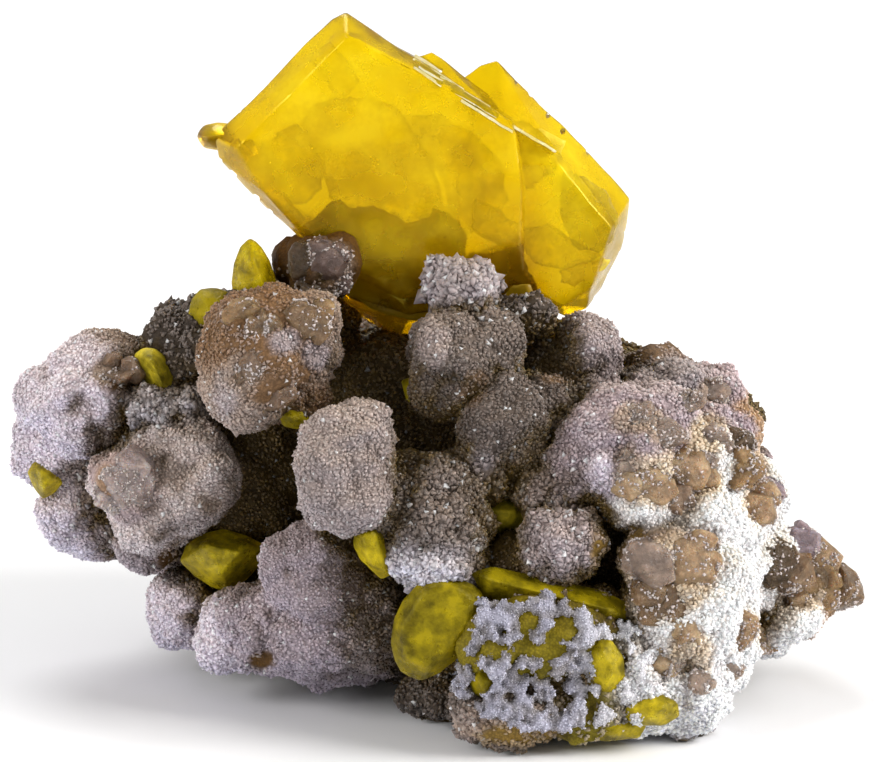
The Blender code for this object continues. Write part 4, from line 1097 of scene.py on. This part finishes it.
def small_crystals():
    satin = olive_sulfur("sulfur_satin", (0.94, 0.86, 0.02), 200.0, (0.22, 0.5), 0.45, (0.34, 0.26, 0.004))
    lemon = olive_sulfur("sulfur_lemon", (0.95, 0.88, 0.02), 160.0, (0.2, 0.45), 0.5, (0.60, 0.46, 0.012))
    bright = olive_sulfur("sulfur_blade", (0.95, 0.87, 0.02), 240.0, (0.15, 0.4), 0.55, (0.62, 0.46, 0.004))
    wax = olive_sulfur("sulfur_wax", (0.95, 0.88, 0.04), 140.0, (0.25, 0.5), 0.2, (0.46, 0.36, 0.02))
    dusky = olive_sulfur("sulfur_dusky", (0.92, 0.84, 0.02), 300.0, (0.2, 0.5), 0.4, (0.44, 0.34, 0.005))
    looks = {"sulfur_blade_upper_left": bright, "sulfur_center_pocket": wax, "sulfur_left_saddle": wax, "sulfur_lower_left": lemon,
             "sulfur_center_prism": lemon, "sulfur_left_edge": lemon, "sulfur_lace_right": lemon, "sulfur_foot_right": lemon, "sulfur_gap_center": dusky, "sulfur_gap_left": dusky,
             "sulfur_gap_right": dusky, "sulfur_foot_edge": dusky}
    for i, (name, (mid, back, outline, front)) in enumerate(SMALL_SULFUR.items()):
        ring = np.array(outline, float)
        centre = ring.mean(axis=0)
        pts = [at(u, v, mid) for u, v in ring] + [at(*p) for p in front]
        pts += [at(*(centre + (q - centre) * 0.7), back) for q in ring[::2]]
        bm = bevel_bm(hull_bm(pts), 0.00022 if name != "sulfur_front_disc" else 0.00035, 3)
        bm = rounded(bm, 200 + i, 0.00006 if name != "sulfur_front_disc" else 0.00014)
        obj = temp(name + "_look", bm)
        obj.hide_render = False
        finished(obj, looks.get(name, satin), "sulfur_small", name)
    for name in ("sulfur_back_upper", "sulfur_back_left", "sulfur_back_right"):
        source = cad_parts[name].data
        pts = [source.vertices[i].co[:] for i in range(len(source.vertices))]
        obj = temp(name + "_look", rounded(bevel_bm(hull_bm(pts), 0.0002, 3), 300))
        obj.hide_render = False
        finished(obj, satin, "sulfur_small", name)

    tones = {t: calcite_material("calcite_" + t, c) for t, c in (
        ("tan", (0.56, 0.365, 0.195)), ("brown", (0.28, 0.165, 0.07)), ("peach", (0.34, 0.215, 0.13)), ("beige", (0.42, 0.31, 0.245)),
        ("lilac", (0.38, 0.29, 0.33)), ("umber", (0.11, 0.058, 0.010)), ("blush", (0.58, 0.455, 0.43)), ("rose", (0.20, 0.125, 0.10)),
        ("ochre", (0.44, 0.265, 0.105)))}
    dust = []
    rng = np.random.default_rng(31)
    groups = dict(CALCITE)
    groups.update(EXTRA_CALCITE)
    for name, blocks in groups.items():
        parts = []
        for u, v, y, ru, rv, rd, turn, tone in blocks:
            ru, rv, rd = ru * 1.12, rv * 1.12, rd * 1.1
            y = seated(u, v, y, rd) + (0.0 if name in CALCITE else 0.18 * rd * PITCH * 1000)
            parts.append((u, v, y, ru, rv, rd, turn, tone))
            for _ in range(3 if name != "calcite_far_right" else 2):
                way = rng.uniform(0, 2 * math.pi)
                share = rng.uniform(0.48, 0.72)
                parts.append((u + math.cos(way) * ru * 0.62, v + math.sin(way) * rv * 0.62, y - rng.uniform(-0.2, 0.5),
                              ru * share, rv * share, rd * share, rng.uniform(-60, 60), tone))
        for j, (u, v, y, ru, rv, rd, turn, tone) in enumerate(parts):
            dirs = rng.normal(size=(22, 3))
            dirs /= np.linalg.norm(dirs, axis=1, keepdims=True)
            dirs = np.sign(dirs) * np.abs(dirs) ** 0.7
            axes = turned(turn, 10)
            pts = at(u, v, y) + (dirs * np.array([ru, rd, rv]) * PITCH) @ axes.T
            pts[:, 2] = np.maximum(pts[:, 2], 0.0004)
            obj = temp(f"{name}_look{j}", bevel_bm(hull_bm(pts), 0.00030 * min(1, ru / 18), 2))
            obj.hide_render = False
            waver(obj, 0.0012, ((0.0026, 0.00020), (0.0012, 0.00008)), 400 + 7 * j, 36)
            finished(obj, tones[tone], "calcite", *([name] if name in CALCITE else []))
            v, f = arrays(obj.data)
            a, b, c = v[f[:, 0]], v[f[:, 1]], v[f[:, 2]]
            way = np.cross(b - a, c - a)
            size = np.linalg.norm(way, axis=1)
            pick = rng.choice(len(f), size=int(size.sum() / 2 / 0.00036**2), p=size / size.sum())
            r1, r2 = rng.random(len(pick)), rng.random(len(pick))
            r1, r2 = np.where(r1 + r2 > 1, 1 - r1, r1), np.where(r1 + r2 > 1, 1 - r2, r2)
            q = a[pick] + (b - a)[pick] * r1[:, None] + (c - a)[pick] * r2[:, None]
            far = way[pick] / size[pick][:, None]
            keep = (fractal(q, 0.0022, 430 + j) + 0.3 * rng.random(len(q)) > 0.76) & (q[:, 2] > 0.0004)
            dust.append(np.hstack([q[keep], far[keep]]))
    dust = np.vstack(dust)
    p, n = dust[:, :3], dust[:, 3:]
    print("dust", len(p), flush=True)
    shade = np.array((0.46, 0.39, 0.36))[None] * rng.uniform(0.7, 1.4, (len(p), 1))
    v, f, c = scatter(p, n, np.clip(shade, 0, 1), 0.00025 * rng.uniform(0.7, 1.4, len(p)), 77, 3)
    finished(object_of("calcite_dust", mesh_of("calcite_dust", v, f, c, smooth=True)), GRAIN, "druse_matrix")
    # one bright clear crystal standing in the gap
    white = Nodes("calcite_bright")
    white.link(white.spread(white.noise(900), 0.05, 0.2), white.shader.inputs["Roughness"])
    white.set(Base_Color=(0.97, 0.96, 0.98, 1), Transmission_Weight=0.3, IOR=1.55)
    pts = [(533, 524, -8.4), (531, 518, -8.0), (538, 512, -8.2), (545, 520, -8.2), (540, 526, -8.4), (536, 518, -9.6), (541, 519, -9.4), (538, 520, -7.0)]
    obj = temp("glint_crystal", bevel_bm(hull_bm([at(*q) for q in pts]), 0.00004, 2))
    obj.hide_render = False
    finished(obj, white.material, "calcite")


small_crystals()


# -------------------------------------------------- lacy crust on the sulfur
LACE = [(452, 606), (470, 598), (496, 606), (520, 603), (545, 594), (572, 604), (596, 618), (640, 626), (650, 660), (640, 700),
        (600, 724), (560, 728), (520, 726), (480, 712), (455, 690), (462, 660), (478, 640)]
HOLES = [(492, 652, 11, 13), (546, 646, 20, 12), (482, 682, 15, 16), (556, 684, 12, 12), (520, 668, 8, 6), (566, 704, 12, 9),
         (604, 650, 16, 13), (608, 682, 15, 20), (540, 704, 10, 7), (508, 696, 8, 6), (590, 706, 10, 7), (577, 660, 8, 7),
         (530, 626, 7, 5), (505, 632, 6, 5), (566, 630, 9, 7), (476, 660, 6, 6), (536, 676, 6, 5), (600, 622, 12, 5)]


def inside(u, v, polygon):
    found = np.zeros(len(u), bool)
    n = len(polygon)
    for i in range(n):
        (x0, y0), (x1, y1) = polygon[i], polygon[(i + 1) % n]
        cross = ((y0 > v) != (y1 > v)) & (u < (x1 - x0) * (v - y0) / (y1 - y0 + 1e-9) + x0)
        found ^= cross
    return found


def lace():
    mid = SV[SF].mean(axis=1)
    n = VN[SF].mean(axis=1)
    n /= np.maximum(np.linalg.norm(n, axis=1, keepdims=True), 1e-9)
    u, v, y = laid(mid)
    keep = inside(u, v, LACE) & (y < -10) & (n @ -AWAY > -0.2)
    gap = np.full(len(mid), 9.0)
    for hu, hv, ru, rv in HOLES:
        gap = np.minimum(gap, np.sqrt(((u - hu) / ru) ** 2 + ((v - hv) / rv) ** 2))
    gap = gap + 2.2 * (fractal(mid, 0.0011, 91) - 0.5)
    pits, _ = cells(mid, 0.0017, 95)
    ridge = np.abs(fractal(mid, 0.0030, 96, 3) - 0.5)
    keep &= (gap > 1.0) & ((ridge < 0.10) | (pits < 0.36))
    index = np.flatnonzero(keep)
    rng = np.random.default_rng(17)
    index = rng.choice(index, size=min(len(index), 2300), replace=False)
    bm = bmesh.new()
    tall = np.clip(rng.uniform(0.1, 1.3, len(index)) - ridge[index] / 0.25 + 0.2 * (fractal(mid[index], 0.0015, 99) - 0.5), 0.1, 1.25)
    for i, t in zip(index, tall):
        r = rng.uniform(0.0002, 0.00042)
        for step in range(3 if t > 0.7 else 2):
            c = mid[i] + (n[i] * 0.8 - AWAY * 0.4) * (0.0002 + step * 0.00042) * t + rng.normal(scale=0.0002, size=3)
            bmesh.ops.create_icosphere(bm, subdivisions=1, radius=r * (1 - 0.14 * step), matrix=Matrix.Translation(Vector(c)))
    mesh = bpy.data.meshes.new("lace")
    bm.to_mesh(mesh)
    bm.free()
    obj = object_of("lace_crust", mesh)
    fuse = obj.modifiers.new("fuse", "REMESH")
    fuse.mode = "VOXEL"
    fuse.voxel_size = 0.00028
    mesh = applied(obj)
    v, f = arrays(mesh)
    nn = normals_of(mesh)
    d, _ = cells(v, 0.0007, 97)
    v = v + nn * (0.00018 * (0.6 - d))[:, None]
    v[:, 2] = np.maximum(v[:, 2], 0.0001)
    kd2 = KDTree(len(mid))
    for i, p in enumerate(mid):
        kd2.insert(Vector(p), i)
    kd2.balance()
    away = np.array([kd2.find(Vector(p))[2] for p in v])
    # painted shade: the crust is dark brown where it sits on the stone and pale lilac towards its tips
    tipped = np.clip(away / 0.0011, 0, 1)[:, None]
    low = np.array((0.16, 0.135, 0.095))
    tone = low * (1 - tipped) + np.array((0.43, 0.42, 0.51)) * tipped
    tone = tone * (0.75 + 0.5 * fractal(v, 0.003, 98))[:, None]
    uu, vv, _ = laid(v)
    right = np.clip((uu - 570) / 60, 0, 1)[:, None]
    tone = tone * (1 - right) + np.array(TINTS["bright"])[None] * right * (0.7 + 0.3 * tipped)
    obj.data = mesh_of("lace_crust", v, f, np.clip(tone, 0, 1), smooth=True)
    finished(obj, SKIN, "druse_matrix")
    count = min(len(v), 7000)
    pick = rng.choice(len(v), size=count, replace=False)
    gv, gf, gc = scatter(v[pick], nn[pick], np.clip(tone[pick] * rng.uniform(0.9, 1.4, (count, 1)), 0, 1), 0.00019 * rng.uniform(0.7, 1.4, count), 71, 3)
    grain = object_of("lace_grains", mesh_of("lace_grains", gv, gf, gc, smooth=True))
    finished(grain, GRAIN, "druse_matrix")
    print("lace", len(f), flush=True)


lace()


# ------------------------------------------------------------------- stage
def stage():
    bm = bmesh.new()
    bmesh.ops.create_circle(bm, cap_ends=True, segments=96, radius=4.0)
    mesh = bpy.data.meshes.new("floor")
    bm.to_mesh(mesh)
    bm.free()
    floor = object_of("floor", mesh)
    m = Nodes("floor")
    m.set(Base_Color=(0.93, 0.93, 0.93, 1), Roughness=0.9, Specular_IOR_Level=0.1)
    mesh.materials.append(m.material)

    world = bpy.data.worlds.new("studio")
    bpy.context.scene.world = world
    world.use_nodes = True
    background = world.node_tree.nodes["Background"]
    background.inputs["Color"].default_value = (1.0, 1.0, 1.0, 1)
    background.inputs["Strength"].default_value = 0.42

    def lamp(name, where, size, power, colour=(1, 1, 1)):
        light = bpy.data.lights.new(name, "AREA")
        light.shape = "DISK"
        light.size = size
        light.energy = power
        light.color = colour
        obj = object_of(name, light)
        obj.location = where
        aim = Vector((0, 0, 0.03)) - Vector(where)
        obj.rotation_euler = aim.to_track_quat("-Z", "Y").to_euler()

    lamp("key", (0.75, -0.25, 0.46), 0.45, 9.0, (1.0, 0.985, 0.97))
    lamp("fill", (-0.70, -0.40, 0.40), 0.45, 4.5, (1.0, 0.99, 1.0))
    lamp("top", (-0.1, 0.45, 0.75), 0.5, 3.0, (1.0, 1.0, 1.0))

    camera = bpy.data.cameras.new("camera")
    camera.lens = 36 * REACH / (874 * PITCH)
    camera.sensor_width = 36
    camera.clip_start, camera.clip_end = 0.01, 20
    obj = object_of("camera", camera)
    basis = Matrix((RIGHT.tolist(), UP.tolist(), (-AWAY).tolist())).transposed().to_4x4()
    basis.translation = Vector(MIDDLE - AWAY * REACH)
    obj.matrix_world = basis
    bpy.context.scene.camera = obj
    bpy.context.scene.view_settings.view_transform = "Standard"


stage()
